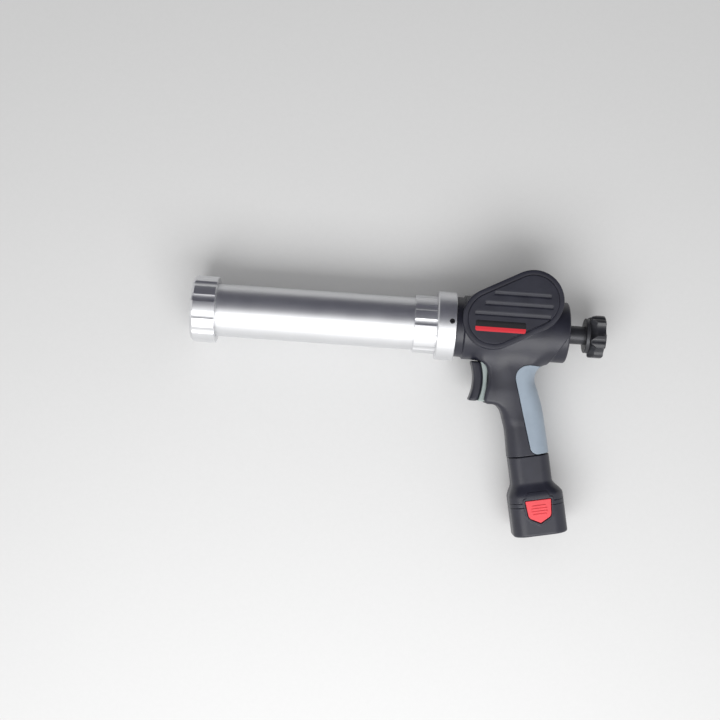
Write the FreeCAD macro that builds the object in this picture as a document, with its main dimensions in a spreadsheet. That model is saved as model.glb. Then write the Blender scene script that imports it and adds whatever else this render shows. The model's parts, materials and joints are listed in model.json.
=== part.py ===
import FreeCAD, Part
import math
import os
from types import SimpleNamespace

import Sketcher
from FreeCAD import Placement, Rotation, Vector

# Cordless caulking tool, lying on its side.
# The barrel axis is the X axis: the nozzle opening is at the origin and the rod's knob is at +X.
# The handle hangs towards -Y, and +Z points out of the tool's left side.

# Driving lengths in millimetres, one sheet cell each.
LENGTHS = {
    # Barrel
    "cap_length": 25.2,
    "cap_side": 7.05,
    "cap_wall": 4.0,
    "cap_chamfer": 3.0,
    "cap_groove_depth": 1.0,
    "groove_cutter": 9.5,
    "nozzle_radius": 16.0,
    "thread_clearance": 0.3,
    "tube_radius": 27.25,
    "tube_wall": 2.0,
    "tube_shown": 204.0,
    "collar_length": 23.0,
    "collar_side": 2.75,
    "collar_groove_depth": 0.8,
    "ring_length": 19.3,
    "ring_side": 8.25,
    "ring_chamfer": 1.2,
    "ring_wall": 6.0,
    "set_screw_radius": 2.75,
    "set_screw_length": 7.0,
    "set_screw_inset": 4.8,
    "set_screw_socket": 1.4,
    # Push rod
    "rod_radius": 9.5,
    "rod_shown": 19.2,
    "rod_travel": 222.0,
    "rod_advance": 12.0,
    "plunger_gap": 16.0,
    "plunger_length": 14.0,
    "plunger_clearance": 0.4,
    "plunger_boss_radius": 15.0,
    "plunger_boss_length": 8.0,
    "plunger_bolt_radius": 4.0,
    "plunger_bolt_length": 24.0,
    "plunger_bolt_head": 6.5,
    "plunger_bolt_head_length": 5.0,
    "flange_radius": 18.0,
    "flange_length": 4.0,
    "knob_radius": 22.5,
    "knob_length": 15.5,
    "knob_chamfer": 3.5,
    "knob_scallop_radius": 8.5,
    "knob_scallop_depth": 5.0,
    "knob_bolt_radius": 3.0,
    "knob_bolt_length": 22.0,
    "knob_bolt_head": 5.0,
    "knob_bolt_head_length": 4.0,
    "bush_wall": 3.0,
    "running_clearance": 0.05,
    # Drive housing
    "housing_length": 116.0,
    "housing_wall": 3.2,
    "front_wall": 4.0,
    "neck_length": 7.7,
    "neck_radius": 31.0,
    "drum_radius": 33.0,
    "tail_lift": 3.0,
    "edge_round": 2.0,
    "lobe_radius": 31.2,
    "lobe_rise": 10.0,
    "boss_rise": 33.2,
    "cover_thickness": 3.8,
    "cover_round": 1.2,
    "cover_band": 4.7,
    "cover_step": 0.9,
    "louvre_width": 3.9,
    "louvre_depth": 1.3,
    "label_length": 51.0,
    "label_width": 11.0,
    "label_depth": 0.4,
    "case_pillar_radius": 3.5,
    "neck_screw_inset": 5.1,
    "low_screw_inset": 12.0,
    "tail_screw_inset": 9.6,
    "grip_screw_setback": 40.5,
    "case_screw_radius": 1.5,
    "case_screw_length": 18.0,
    "case_screw_head": 3.0,
    "case_screw_head_length": 3.0,
    "screw_clearance": 0.25,
    # Gear train
    "gear_module": 1.25,
    "fine_module": 1.0,
    "backlash": 0.2,
    "rack_height": 8.0,
    "pinion_setback": 36.7,
    "pinion_width": 14.0,
    "gear_width": 5.0,
    "tier_gap": 1.5,
    "gear_gap": 1.0,
    "plate_level": 11.0,
    "plate_thickness": 3.0,
    "plate_clearance": 0.3,
    "shaft_radius": 4.0,
    "pin_radius": 3.0,
    "shaft_bush_wall": 2.0,
    "motor_radius": 18.0,
    "motor_length": 26.0,
    "motor_boss_radius": 6.0,
    "motor_boss_length": 3.0,
    "gearbox_length": 11.0,
    "post_radius": 3.0,
    "post_reach": 24.0,
    "cover_screw_radius": 1.5,
    "cover_screw_head": 3.2,
    "cover_screw_head_length": 2.0,
    # Handle and trigger
    "rim_setback": 85.2,
    "rim_drop": 127.25,
    "handle_depth": 42.4,
    "handle_width": 39.0,
    "grip_skin": 1.5,
    "block_setback": 37.7,
    "block_drop": 77.5,
    "block_width": 36.0,
    "block_round": 5.0,
    "block_edge": 4.5,
    "finger_radius": 17.0,
    "trigger_clearance": 0.6,
    "trigger_gap": 1.0,
    "trigger_top_gap": 1.2,
    "trigger_height": 41.0,
    "trigger_depth": 18.0,
    "trigger_width": 22.0,
    "trigger_hollow": 4.2,
    "trigger_edge": 2.5,
    "trigger_travel": 6.0,
    "inlay_depth": 10.0,
    "inlay_hollow": 4.0,
    "inlay_lean": 4.0,
    "stem_width": 12.0,
    "stem_height": 14.0,
    "switch_length": 18.0,
    "switch_height": 22.0,
    "board_length": 32.0,
    "board_width": 38.0,
    "board_thickness": 1.6,
    "board_drop": 22.0,
    # Battery
    "battery_wall": 2.0,
    "rim_gap": 0.6,
    "stick_length": 52.0,
    "stick_depth": 29.0,
    "stick_width": 26.0,
    "stick_round": 6.0,
    "neck_depth": 41.6,
    "neck_width": 39.4,
    "neck_drop": 28.5,
    "flare_drop": 40.5,
    "seam_drop": 51.7,
    "base_drop": 82.2,
    "base_depth": 56.0,
    "base_width": 47.0,
    "base_shift": 2.0,
    "base_round": 15.0,
    "neck_round": 12.0,
    "base_chamfer": 2.0,
    "seam_groove": 0.8,
    "cell_radius": 9.15,
    "cell_length": 65.0,
    "cell_gap": 0.1,
    "blade_length": 7.0,
    "blade_width": 6.0,
    "blade_thickness": 0.8,
    "blade_pitch": 9.0,
    "terminal_length": 9.0,
    "button_width": 26.6,
    "button_height": 23.6,
    "button_drop": 45.3,
    "button_thickness": 4.4,
    "button_proud": 1.0,
    "button_travel": 2.5,
    "button_clearance": 0.4,
    "spring_thickness": 0.5,
    "spring_width": 8.0,
    "base_screw_radius": 1.5,
    "base_screw_head": 3.0,
    "base_screw_head_length": 2.5,
    "base_screw_length": 14.0,
    "base_pillar_radius": 3.2,
    "overrun": 1.0,
}

# Tooth counts and other numbers of copies.
PINION_TEETH = 16
DRIVE_TEETH = 30
COMPOUND_SMALL_TEETH = 12
COMPOUND_LARGE_TEETH = 28
OUTPUT_TEETH = 12
CAP_GROOVES = 12
KNOB_LOBES = 5
SET_SCREWS = 3

# Angles in degrees.
PRESSURE_ANGLE = 20.0
HANDLE_TILT = 11.3
TAIL_ANGLE = 60.6
COMPOUND_ANGLE = -6.1
MOTOR_ANGLE = 49.9
CAP_GROOVE_ANGLE = 72.5
COLLAR_GROOVE_ANGLE = 87.0
KNOB_SCALLOP_ANGLE = 70.0
SET_SCREW_ANGLE = 83.0
RING_SCREW_ANGLES = (60.0, 120.0, 240.0, 300.0)
FRONT_POST_ANGLES = (-90.0, 140.0)
REAR_POST_ANGLES = (90.0, 0.0)

# Tooth proportions as shares of the module.
ADDENDUM_SHARE = 0.85
DEDENDUM_SHARE = 1.25

# Handle sections, rim first: height as a share of the rim's drop below the barrel axis, front and rear
# as shares of the handle's depth, half width as a share of its width.
HANDLE_SHARES = (
    (0.00, -0.507, 0.493, 0.500),
    (0.20, -0.486, 0.486, 0.495),
    (0.38, -0.488, 0.468, 0.488),
    (0.50, -0.495, 0.418, 0.482),
    (0.61, -0.519, 0.384, 0.487),
    (0.69, -0.545, 0.500, 0.510),
    (0.79, -0.610, 0.860, 0.555),
    (0.93, -0.650, 0.900, 0.690),
)
# The lower sections make a nearly straight grip, the rest the flare up to the drum.
STRAIGHT_SECTIONS = 3
HANDLE_CORNER_SHARE = 0.76
# Edge of the grip insert seen from the side, in shares of the rim's drop and of the handle's depth.
GRIP_TOP_SHARE = 0.725
GRIP_TIP_SHARE = 0.643
GRIP_BEND_SHARE = 0.625
GRIP_FOOT_SHARE = 0.075
GRIP_BOTTOM_SHARE = 0.004
GRIP_TOP_EDGE_SHARE = 0.28
GRIP_BEND_EDGE_SHARE = -0.11
GRIP_FOOT_EDGE_SHARE = 0.03
GRIP_BOTTOM_EDGE_SHARE = 0.17
GRIP_BACK_SHARE = 1.2
# Louvres of a gear cover: rise, start and end as shares of the lobe radius from the front lobe's centre.
LOUVRE_SHARES = (
    (0.825, -0.03, 1.81),
    (0.48, -0.31, 1.90),
    (0.14, -0.62, 1.84),
)
LABEL_PLACE_SHARES = (0.235, -0.26)
# Heights of the screws that close the housing as shares of the drum radius: neck, trigger, tail twice,
# handle.
CASE_SCREW_HEIGHT_SHARES = (0.62, -0.60, 0.62, -0.62, -1.53)
SWITCH_TOP_SHARE = 1.24
BUTTON_SIDE_SHARE = 0.87
BUTTON_SHOULDER_SHARE = 0.74
BASE_SCREW_SHARES = ((-0.388, 0.0), (0.37, 0.287), (0.37, -0.287))
RING_SCREW_SHARE = 0.71
# Battery contacts across the handle, in steps of their pitch.
BLADE_OFFSETS = (-1, 0, 1)


class Size:
    """A length with the sheet expression that gives it."""

    def __init__(self, value, text):
        self.value = value
        self.text = text

    def __float__(self):
        return self.value

    def __add__(self, other):
        return Size(self.value + float(other), f"({self.text} + {text_of(other)})")

    def __radd__(self, other):
        return Size(float(other) + self.value, f"({text_of(other)} + {self.text})")

    def __sub__(self, other):
        return Size(self.value - float(other), f"({self.text} - {text_of(other)})")

    def __rsub__(self, other):
        return Size(float(other) - self.value, f"({text_of(other)} - {self.text})")

    def __mul__(self, factor):
        return Size(self.value * factor, f"({self.text} * {factor})")

    def __rmul__(self, factor):
        return Size(self.value * factor, f"({self.text} * {factor})")

    def __truediv__(self, factor):
        return Size(self.value / factor, f"({self.text} / {factor})")

    def __neg__(self):
        return Size(-self.value, f"(0 - {self.text})")


def text_of(size):
    """Expression text of a Size or of a plain number."""
    return size.text if isinstance(size, Size) else str(float(size))


def read_sheet(doc):
    """Write the driving lengths to the sheet and return them as sizes by name."""
    sheet = doc.addObject("Spreadsheet::Sheet", "Dims")
    sizes = {}
    for row, (name, value) in enumerate(LENGTHS.items(), start=1):
        sheet.set(f"A{row}", name)
        sheet.set(f"B{row}", str(value))
        sheet.setAlias(f"B{row}", name)
        sizes[name] = Size(value, f"Dims.{name}")
    doc.recompute()
    return SimpleNamespace(**sizes)


def turn_by(degrees):
    """Cosine and sine of an angle in degrees."""
    return math.cos(math.radians(degrees)), math.sin(math.radians(degrees))


def lay_out(d):
    """Places along the barrel axis, in the gear chamber and on the handle, worked out from the lengths."""
    at = SimpleNamespace()
    at.collar_front = d.cap_length + d.tube_shown
    at.ring_front = at.collar_front + d.collar_length
    at.ring_back = at.ring_front + d.ring_length
    at.tube_back = at.ring_back - d.ring_wall
    at.plunger_front = d.cap_wall + d.plunger_gap
    at.plunger_back = at.plunger_front + d.plunger_length
    at.plunger_seat = at.plunger_front + d.plunger_length / 2

    at.pinion_x = at.ring_back + d.pinion_setback
    at.pinion_y = d.rack_height + d.gear_module * (PINION_TEETH / 2)
    compound_reach = d.gear_module * ((DRIVE_TEETH + COMPOUND_SMALL_TEETH) / 2)
    motor_reach = d.fine_module * ((COMPOUND_LARGE_TEETH + OUTPUT_TEETH) / 2)
    cosine, sine = turn_by(COMPOUND_ANGLE)
    at.compound_x = at.pinion_x + compound_reach * cosine
    at.compound_y = at.pinion_y + compound_reach * sine
    cosine, sine = turn_by(MOTOR_ANGLE)
    at.motor_x = at.compound_x + motor_reach * cosine
    at.motor_y = at.compound_y + motor_reach * sine
    at.house_back = at.ring_back + d.housing_length
    at.flange_front = at.house_back + d.rod_shown
    at.knob_front = at.flange_front + d.flange_length
    at.knob_back = at.knob_front + d.knob_length
    at.rod_back = at.knob_front + d.knob_length / 2
    at.lobe_x = at.pinion_x
    at.lobe_y = d.lobe_rise
    at.low_tier = d.plate_level + d.plate_thickness + d.gear_gap
    at.high_tier = at.low_tier + d.gear_width + d.tier_gap
    at.cover_top = d.boss_rise + d.cover_thickness

    at.rim_x = at.ring_back + d.rim_setback
    at.block_front = at.ring_back + d.block_setback
    at.trigger_back = at.block_front - d.trigger_gap
    at.trigger_front = at.trigger_back - d.trigger_depth
    at.trigger_top = -(d.drum_radius + d.trigger_top_gap)
    at.trigger_bottom = at.trigger_top - d.trigger_height
    at.pocket_back = at.trigger_back + d.trigger_travel + d.trigger_gap
    at.stem_back = at.pocket_back + d.housing_wall
    at.switch_front = at.stem_back + d.trigger_travel + d.trigger_gap
    tail_screw = at.house_back - d.tail_screw_inset
    at.case_screws = (at.ring_back + d.neck_screw_inset, at.ring_back + d.low_screw_inset,
                      tail_screw, tail_screw, at.block_front + d.grip_screw_setback)
    return at


def vec(x, y, z=0):
    """Vector of three sizes or numbers."""
    return Vector(float(x), float(y), float(z))


def solid(doc, label, shape):
    """Document object that holds a shape made with Part functions."""
    feature = doc.addObject("Part::Feature", label)
    feature.Shape = shape
    return feature


def place(feature, x, y, z, rotation=None):
    """Turn an object and bind its position to sizes."""
    feature.Placement = Placement(vec(x, y, z), rotation or Rotation())
    for axis, size in (("x", x), ("y", y), ("z", z)):
        if isinstance(size, Size):
            feature.setExpression(f"Placement.Base.{axis}", size.text)
    return feature


ALONG_Z = Rotation(Vector(0, 1, 0), -90)
TILT = Rotation(Vector(0, 0, 1), HANDLE_TILT)


def plane_of(body, role):
    """Origin plane or axis of a body by its role."""
    return next(feature for feature in body.Origin.OriginFeatures if feature.Role == role)


def bind_constraint(sketch, constraint, size):
    """Add a dimension to a sketch and tie it to a size."""
    index = sketch.addConstraint(constraint)
    if isinstance(size, Size):
        sketch.setExpression(f"Constraints[{index}]", size.text)


def outline_sketch(body, role, points):
    """Closed outline of straight lines on an origin plane, every corner bound to its two sizes."""
    sketch = body.newObject("Sketcher::SketchObject", f"{body.Name}_outline")
    sketch.AttachmentSupport = [(plane_of(body, role), "")]
    sketch.MapMode = "FlatFace"
    corners = [vec(first, second) for first, second in points]
    for start, end in zip(corners, corners[1:] + corners[:1]):
        sketch.addGeometry(Part.LineSegment(start, end), False)
    for line in range(len(points)):
        following = (line + 1) % len(points)
        sketch.addConstraint(Sketcher.Constraint("Coincident", line, 2, following, 1))
    for line, (first, second) in enumerate(points):
        bind_constraint(sketch, Sketcher.Constraint("DistanceX", -1, 1, line, 1, float(first)), first)
        bind_constraint(sketch, Sketcher.Constraint("DistanceY", -1, 1, line, 1, float(second)), second)
    return sketch


def turned(doc, label, profile):
    """Body turned about the X axis from an outline of (place along X, radius) corners."""
    body = doc.addObject("PartDesign::Body", label)
    sketch = outline_sketch(body, "XY_Plane", profile)
    revolution = body.newObject("PartDesign::Revolution", f"{label}_turning")
    revolution.Profile = sketch
    revolution.ReferenceAxis = (sketch, ["H_Axis"])
    revolution.Angle = 360
    body.Tip = revolution
    return body


def flute(doc, body, count, start_angle, cutter, reach):
    """Cut evenly spaced round flutes along X into a turned body."""
    doc.recompute()
    plain_volume = body.Shape.Volume
    sketch = body.newObject("Sketcher::SketchObject", f"{body.Name}_flute")
    sketch.AttachmentSupport = [(plane_of(body, "YZ_Plane"), "")]
    sketch.MapMode = "FlatFace"
    cosine, sine = turn_by(start_angle)
    centre_y, centre_z = reach * cosine, reach * sine
    sketch.addGeometry(Part.Circle(vec(centre_y, centre_z), Vector(0, 0, 1), float(cutter)), False)
    bind_constraint(sketch, Sketcher.Constraint("Radius", 0, float(cutter)), cutter)
    bind_constraint(sketch, Sketcher.Constraint("DistanceX", -1, 1, 0, 3, float(centre_y)), centre_y)
    bind_constraint(sketch, Sketcher.Constraint("DistanceY", -1, 1, 0, 3, float(centre_z)), centre_z)
    pocket = body.newObject("PartDesign::Pocket", f"{body.Name}_flute_cut")
    pocket.Profile = sketch
    pocket.Type = "ThroughAll"
    pocket.Reversed = True
    body.Tip = pocket
    doc.recompute()
    pattern = body.newObject("PartDesign::PolarPattern", f"{body.Name}_flutes")
    pattern.Originals = [pocket]
    pattern.Axis = (plane_of(body, "X_Axis"), [""])
    pattern.Angle = 360
    pattern.Occurrences = count
    body.Tip = pattern
    doc.recompute()
    if body.Shape.Volume >= plain_volume:
        raise RuntimeError(f"{body.Label}: the flutes cut nothing")
    return body


def group(doc, label, members):
    """One node of several separate solids."""
    compound = doc.addObject("Part::Compound", label)
    compound.Links = members
    return compound


def screw(doc, label, head_radius, head_length, radius, length):
    """Pan-head screw along X: the head's underside at X = 0, the shank towards +X."""
    return turned(doc, label, [(-head_length, 0), (-head_length, head_radius), (0, head_radius),
                               (0, radius), (length, radius), (length, 0)])


def plain_shaft(doc, label, radius, length):
    """Plain round shaft along X from X = 0."""
    return turned(doc, label, [(0, 0), (0, radius), (length, radius), (length, 0)])


def box_between(low, high):
    """Box from its lowest to its highest corner."""
    span = high - low
    return Part.makeBox(span.x, span.y, span.z, low)


def disc(radius, start, end, x, y):
    """Cylinder along Z between two heights."""
    low, high = float(start), float(end)
    return Part.makeCylinder(float(radius), high - low, vec(x, y, low))


def revolved(profile):
    """Solid turned about the X axis from (place along X, radius) corners."""
    corners = [vec(along, radius) for along, radius in profile]
    face = Part.Face(Part.makePolygon(corners + corners[:1]))
    return face.revolve(Vector(0, 0, 0), Vector(1, 0, 0), 360)


def prism(wire, height):
    """Solid of a flat outline raised along Z."""
    return Part.Face(wire).extrude(vec(0, 0, height))


def loft(wires, ruled):
    """Solid through sections, taken in the order that turns its faces outwards."""
    body = Part.makeLoft(wires, True, ruled)
    return body if body.Volume > 0 else Part.makeLoft(wires[::-1], True, ruled)


def stadium_wire(at, radius, level):
    """Outline of one radius about the two lobe centres, closed by their outer tangents."""
    reach = float(radius)
    front = vec(at.lobe_x, at.lobe_y, level)
    rear = vec(at.motor_x, at.motor_y, level)
    along = (rear - front).normalize() * reach
    side = Vector(-along.y, along.x, 0)
    return Part.Wire([
        Part.LineSegment(front + side, rear + side).toShape(),
        Part.Arc(rear + side, rear + along, rear - side).toShape(),
        Part.LineSegment(rear - side, front - side).toShape(),
        Part.Arc(front - side, front - along, front + side).toShape(),
    ])


def stadium(at, radius, start, end):
    """Upright solid of the stadium outline between two heights."""
    return prism(stadium_wire(at, radius, start), float(end) - float(start))


def slot(start_x, end_x, middle_y, width, level, height):
    """Flat bar along X with round ends."""
    half = float(width) / 2
    left, right, y, z = (float(size) for size in (start_x, end_x, middle_y, level))
    top, low = Vector(left + half, y + half, z), Vector(left + half, y - half, z)
    far_top, far_low = Vector(right - half, y + half, z), Vector(right - half, y - half, z)
    wire = Part.Wire([
        Part.LineSegment(top, far_top).toShape(),
        Part.Arc(far_top, Vector(right, y, z), far_low).toShape(),
        Part.LineSegment(far_low, low).toShape(),
        Part.Arc(low, Vector(left, y, z), top).toShape(),
    ])
    return prism(wire, height)


def section_wire(front, rear, half_width, corner, level):
    """Rounded rectangle across the handle axis, depth along X and width along Z, at one height."""
    x0, x1, w, r, y = (float(size) for size in (front, rear, half_width, corner, level))
    k = r * (1 - math.sqrt(0.5))
    return Part.Wire([
        Part.LineSegment(Vector(x0 + r, y, -w), Vector(x1 - r, y, -w)).toShape(),
        Part.Arc(Vector(x1 - r, y, -w), Vector(x1 - k, y, k - w), Vector(x1, y, r - w)).toShape(),
        Part.LineSegment(Vector(x1, y, r - w), Vector(x1, y, w - r)).toShape(),
        Part.Arc(Vector(x1, y, w - r), Vector(x1 - k, y, w - k), Vector(x1 - r, y, w)).toShape(),
        Part.LineSegment(Vector(x1 - r, y, w), Vector(x0 + r, y, w)).toShape(),
        Part.Arc(Vector(x0 + r, y, w), Vector(x0 + k, y, w - k), Vector(x0, y, w - r)).toShape(),
        Part.LineSegment(Vector(x0, y, w - r), Vector(x0, y, r - w)).toShape(),
        Part.Arc(Vector(x0, y, r - w), Vector(x0 + k, y, k - w), Vector(x0 + r, y, -w)).toShape(),
    ])


def on_handle(d, at, shape):
    """Turn a shape made about the rim's centre into the handle's tilt, at the rim."""
    shape.Placement = Placement(vec(at.rim_x, -d.rim_drop), TILT)
    return shape


def handle_loft(d, inset, floor_drop):
    """Handle body about the rim's centre, drawn in by an inset and let down below the rim."""
    wires = []
    for height_share, front_share, rear_share, half_share in HANDLE_SHARES:
        half = d.handle_width * half_share
        front = d.handle_depth * front_share + inset
        rear = d.handle_depth * rear_share - inset
        level = d.rim_drop * height_share
        corner = half * HANDLE_CORNER_SHARE - inset
        wires.append(section_wire(front, rear, half - inset, corner, level))
    body = loft(wires[:STRAIGHT_SECTIONS], False).fuse(loft(wires[STRAIGHT_SECTIONS - 1:], False))
    if float(floor_drop) > 0:
        foot = Part.Face(wires[0]).extrude(vec(0, -floor_drop))
        body = body.fuse(foot)
    return body


def housing_solids(d, at):
    """Outer form, hollow and grip skin of the drive housing."""
    wall = d.housing_wall
    neck_back = at.ring_back + d.neck_length
    tail_front = at.house_back - d.drum_radius / math.tan(math.radians(TAIL_ANGLE))
    tail_hollow = d.drum_radius - d.tail_lift - wall
    drum = revolved([
        (at.ring_back, 0), (at.ring_back, d.neck_radius), (neck_back, d.neck_radius),
        (neck_back + d.edge_round, d.drum_radius), (at.house_back - d.edge_round, d.drum_radius),
        (at.house_back, d.drum_radius - d.edge_round), (at.house_back, 0)])
    drum = drum.cut(tail_relief(d, at, tail_front))
    hollow_drum = revolved([
        (at.ring_back + d.front_wall, 0), (at.ring_back + d.front_wall, d.neck_radius - wall),
        (neck_back, d.neck_radius - wall), (neck_back + d.edge_round, d.drum_radius - wall),
        (tail_front - wall * 2, d.drum_radius - wall), (tail_front - wall, tail_hollow),
        (at.house_back - wall, tail_hollow), (at.house_back - wall, 0)])
    boss = stadium(at, d.lobe_radius, -d.boss_rise, d.boss_rise)
    chamber = stadium(at, d.lobe_radius - wall, -d.boss_rise - d.overrun, d.boss_rise + d.overrun)
    handle = on_handle(d, at, handle_loft(d, 0, 0))
    well = on_handle(d, at, handle_loft(d, wall, d.overrun))
    block = trigger_block(d, at)
    grip = grip_skin(d, at)

    outer = drum.fuse([boss, handle, block])
    hollow = hollow_drum.fuse([chamber, well])
    return outer, hollow, grip


def tail_relief(d, at, tail_front):
    """Cut under the drum's tail: what lies below a raised drum, behind a line slanting down from the axis."""
    back = float(at.house_back)
    beyond = back + float(d.overrun)
    front, low = float(tail_front), -float(d.drum_radius)
    reach = float(d.drum_radius)
    wire = Part.makePolygon([Vector(back, 0, low), Vector(front, low, low), Vector(front, low * 2, low),
                             Vector(beyond, low * 2, low), Vector(beyond, 0, low), Vector(back, 0, low)])
    middle = Vector(front - reach, float(d.tail_lift), 0)
    raised = Part.makeCylinder(reach, reach * 2, middle, Vector(1, 0, 0))
    return prism(wire, reach * 2).cut(raised)


def trigger_block(d, at):
    """Part of the housing that carries the trigger, with its hollow finger rest below."""
    front = float(at.block_front)
    low = -float(d.block_drop)
    top = low + float(d.block_drop) / 2 + float(d.finger_radius)
    rounding = float(d.block_round)
    finger = float(d.finger_radius)
    bend = math.sqrt(0.5)
    rest = front + rounding
    rear = rest + finger
    back = rear + finger
    z = -float(d.block_width) / 2
    corner = Vector(front + rounding * (1 - bend), low + rounding * (1 - bend), z)
    crook = Vector(rest + finger * bend, low - finger * (1 - bend), z)
    wire = Part.Wire([
        Part.LineSegment(Vector(front, top, z), Vector(front, low + rounding, z)).toShape(),
        Part.Arc(Vector(front, low + rounding, z), corner, Vector(rest, low, z)).toShape(),
        Part.Arc(Vector(rest, low, z), crook, Vector(rear, low - finger, z)).toShape(),
        Part.LineSegment(Vector(rear, low - finger, z), Vector(back, low - finger, z)).toShape(),
        Part.LineSegment(Vector(back, low - finger, z), Vector(back, top, z)).toShape(),
        Part.LineSegment(Vector(back, top, z), Vector(front, top, z)).toShape(),
    ])
    block = prism(wire, d.block_width)
    edges = [edge for edge in block.Edges
             if edge.BoundBox.ZLength < rounding and edge.BoundBox.XMax < rear + rounding
             and edge.BoundBox.YLength > rounding / 2]
    return block.makeFillet(float(d.block_edge), edges)


def grip_skin(d, at):
    """Soft insert over the back of the handle: the handle's own skin inside the insert's side outline."""
    top = float(d.rim_drop * GRIP_TOP_SHARE)
    tip = float(d.rim_drop * GRIP_TIP_SHARE)
    bend = float(d.rim_drop * GRIP_BEND_SHARE)
    foot = float(d.rim_drop * GRIP_FOOT_SHARE)
    bottom = float(d.rim_drop * GRIP_BOTTOM_SHARE)
    top_edge = float(d.handle_depth * GRIP_TOP_EDGE_SHARE)
    bend_edge = float(d.handle_depth * GRIP_BEND_EDGE_SHARE)
    foot_edge = float(d.handle_depth * GRIP_FOOT_EDGE_SHARE)
    bottom_edge = float(d.handle_depth * GRIP_BOTTOM_EDGE_SHARE)
    back = float(d.handle_depth * GRIP_BACK_SHARE)
    z = -float(d.handle_width)
    ease = 1 - math.sqrt(0.5)
    top_mid = Vector(bend_edge + ease * (top_edge - bend_edge), top + ease * (bend - top), z)
    foot_mid = Vector(foot_edge + ease * (bottom_edge - foot_edge), bottom + ease * (foot - bottom), z)
    wire = Part.Wire([
        Part.LineSegment(Vector(back, tip, z), Vector(top_edge, top, z)).toShape(),
        Part.Arc(Vector(top_edge, top, z), top_mid, Vector(bend_edge, bend, z)).toShape(),
        Part.LineSegment(Vector(bend_edge, bend, z), Vector(foot_edge, foot, z)).toShape(),
        Part.Arc(Vector(foot_edge, foot, z), foot_mid, Vector(bottom_edge, bottom, z)).toShape(),
        Part.LineSegment(Vector(bottom_edge, bottom, z), Vector(back, bottom, z)).toShape(),
        Part.LineSegment(Vector(back, bottom, z), Vector(back, tip, z)).toShape(),
    ])
    side = prism(wire, d.handle_width * 2)
    skin = handle_loft(d, 0, 0).common(side).cut(handle_loft(d, d.grip_skin, d.overrun))
    return on_handle(d, at, skin)


def build_barrel(doc, d, at):
    """Front cap, barrel tube, collar, mounting ring and the screws that hold the ring."""
    bore = d.tube_radius + d.thread_clearance
    cap_radius = d.tube_radius + d.cap_side
    collar_radius = d.tube_radius + d.collar_side
    ring_radius = d.tube_radius + d.ring_side
    cap = turned(doc, "front_cap", [
        (0, d.nozzle_radius), (0, cap_radius - d.cap_chamfer), (d.cap_chamfer, cap_radius),
        (d.cap_length, cap_radius), (d.cap_length, bore), (d.cap_wall, bore),
        (d.cap_wall, d.nozzle_radius)])
    flute(doc, cap, CAP_GROOVES, CAP_GROOVE_ANGLE, d.groove_cutter,
          cap_radius + d.groove_cutter - d.cap_groove_depth)
    tube_bore = d.tube_radius - d.tube_wall
    tube_front = d.cap_wall + d.thread_clearance
    tube = turned(doc, "barrel_tube", [
        (tube_front, tube_bore), (tube_front, d.tube_radius), (at.tube_back, d.tube_radius),
        (at.tube_back, tube_bore)])
    collar = turned(doc, "barrel_collar", [
        (at.collar_front, d.tube_radius), (at.collar_front, collar_radius),
        (at.ring_front, collar_radius), (at.ring_front, d.tube_radius)])
    flute(doc, collar, CAP_GROOVES, COLLAR_GROOVE_ANGLE, d.groove_cutter,
          collar_radius + d.groove_cutter - d.collar_groove_depth)

    bush_radius = d.rod_radius + d.bush_wall
    blank = turned(doc, "ring_blank", [
        (at.ring_front, d.tube_radius), (at.ring_front, ring_radius - d.ring_chamfer),
        (at.ring_front + d.ring_chamfer, ring_radius), (at.ring_back - d.ring_chamfer, ring_radius),
        (at.ring_back, ring_radius - d.ring_chamfer), (at.ring_back, bush_radius),
        (at.tube_back, bush_radius), (at.tube_back, d.tube_radius)])
    set_x = at.ring_back - d.set_screw_inset
    set_depth = ring_radius - d.set_screw_length
    set_screws, tools = [], []
    for index in range(SET_SCREWS):
        angle = SET_SCREW_ANGLE + 360 * index / SET_SCREWS
        cosine, sine = turn_by(angle)
        outward = Rotation(Vector(1, 0, 0), Vector(0, cosine, sine))
        grub = turned(doc, f"set_screw_{index}", [
            (0, 0), (0, d.set_screw_radius), (d.set_screw_length, d.set_screw_radius),
            (d.set_screw_length, d.set_screw_socket), (d.set_screw_length / 2, d.set_screw_socket),
            (d.set_screw_length / 2, 0)])
        sunk = set_depth - d.overrun
        set_screws.append(place(grub, set_x, sunk * cosine, sunk * sine, outward))
        hole = doc.addObject("Part::Cylinder", f"set_screw_hole_{index}")
        hole.setExpression("Radius", d.set_screw_radius.text)
        hole.setExpression("Height", (d.set_screw_length + d.overrun * 2).text)
        upward = Rotation(Vector(0, 0, 1), Vector(0, cosine, sine))
        tools.append(place(hole, set_x, sunk * cosine, sunk * sine, upward))
    ring_screws = []
    for index, angle in enumerate(RING_SCREW_ANGLES):
        cosine, sine = turn_by(angle)
        reach = d.neck_radius * RING_SCREW_SHARE
        head_x = at.ring_back + d.front_wall
        item = screw(doc, f"ring_screw_{index}", d.case_screw_head, d.case_screw_head_length,
                     d.case_screw_radius, d.front_wall + d.ring_wall / 2)
        place(item, head_x, reach * cosine, reach * sine, Rotation(Vector(0, 1, 0), 180))
        ring_screws.append(item)
        hole = doc.addObject("Part::Cylinder", f"ring_screw_hole_{index}")
        hole.setExpression("Radius", d.case_screw_radius.text)
        hole.setExpression("Height", (d.ring_wall / 2).text)
        start = at.ring_back - d.ring_wall / 2
        tools.append(place(hole, start, reach * cosine, reach * sine, Rotation(Vector(0, 1, 0), 90)))
    ring = doc.addObject("Part::Cut", "mounting_ring")
    ring.Base = blank
    ring.Tool = group(doc, "ring_holes", tools)
    bush = turned(doc, "front_rod_bush", bush_profile(d, at.tube_back, at.ring_back))
    return [cap, tube, collar, ring, group(doc, "set_screws", set_screws),
            group(doc, "ring_screws", ring_screws), bush]


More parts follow.
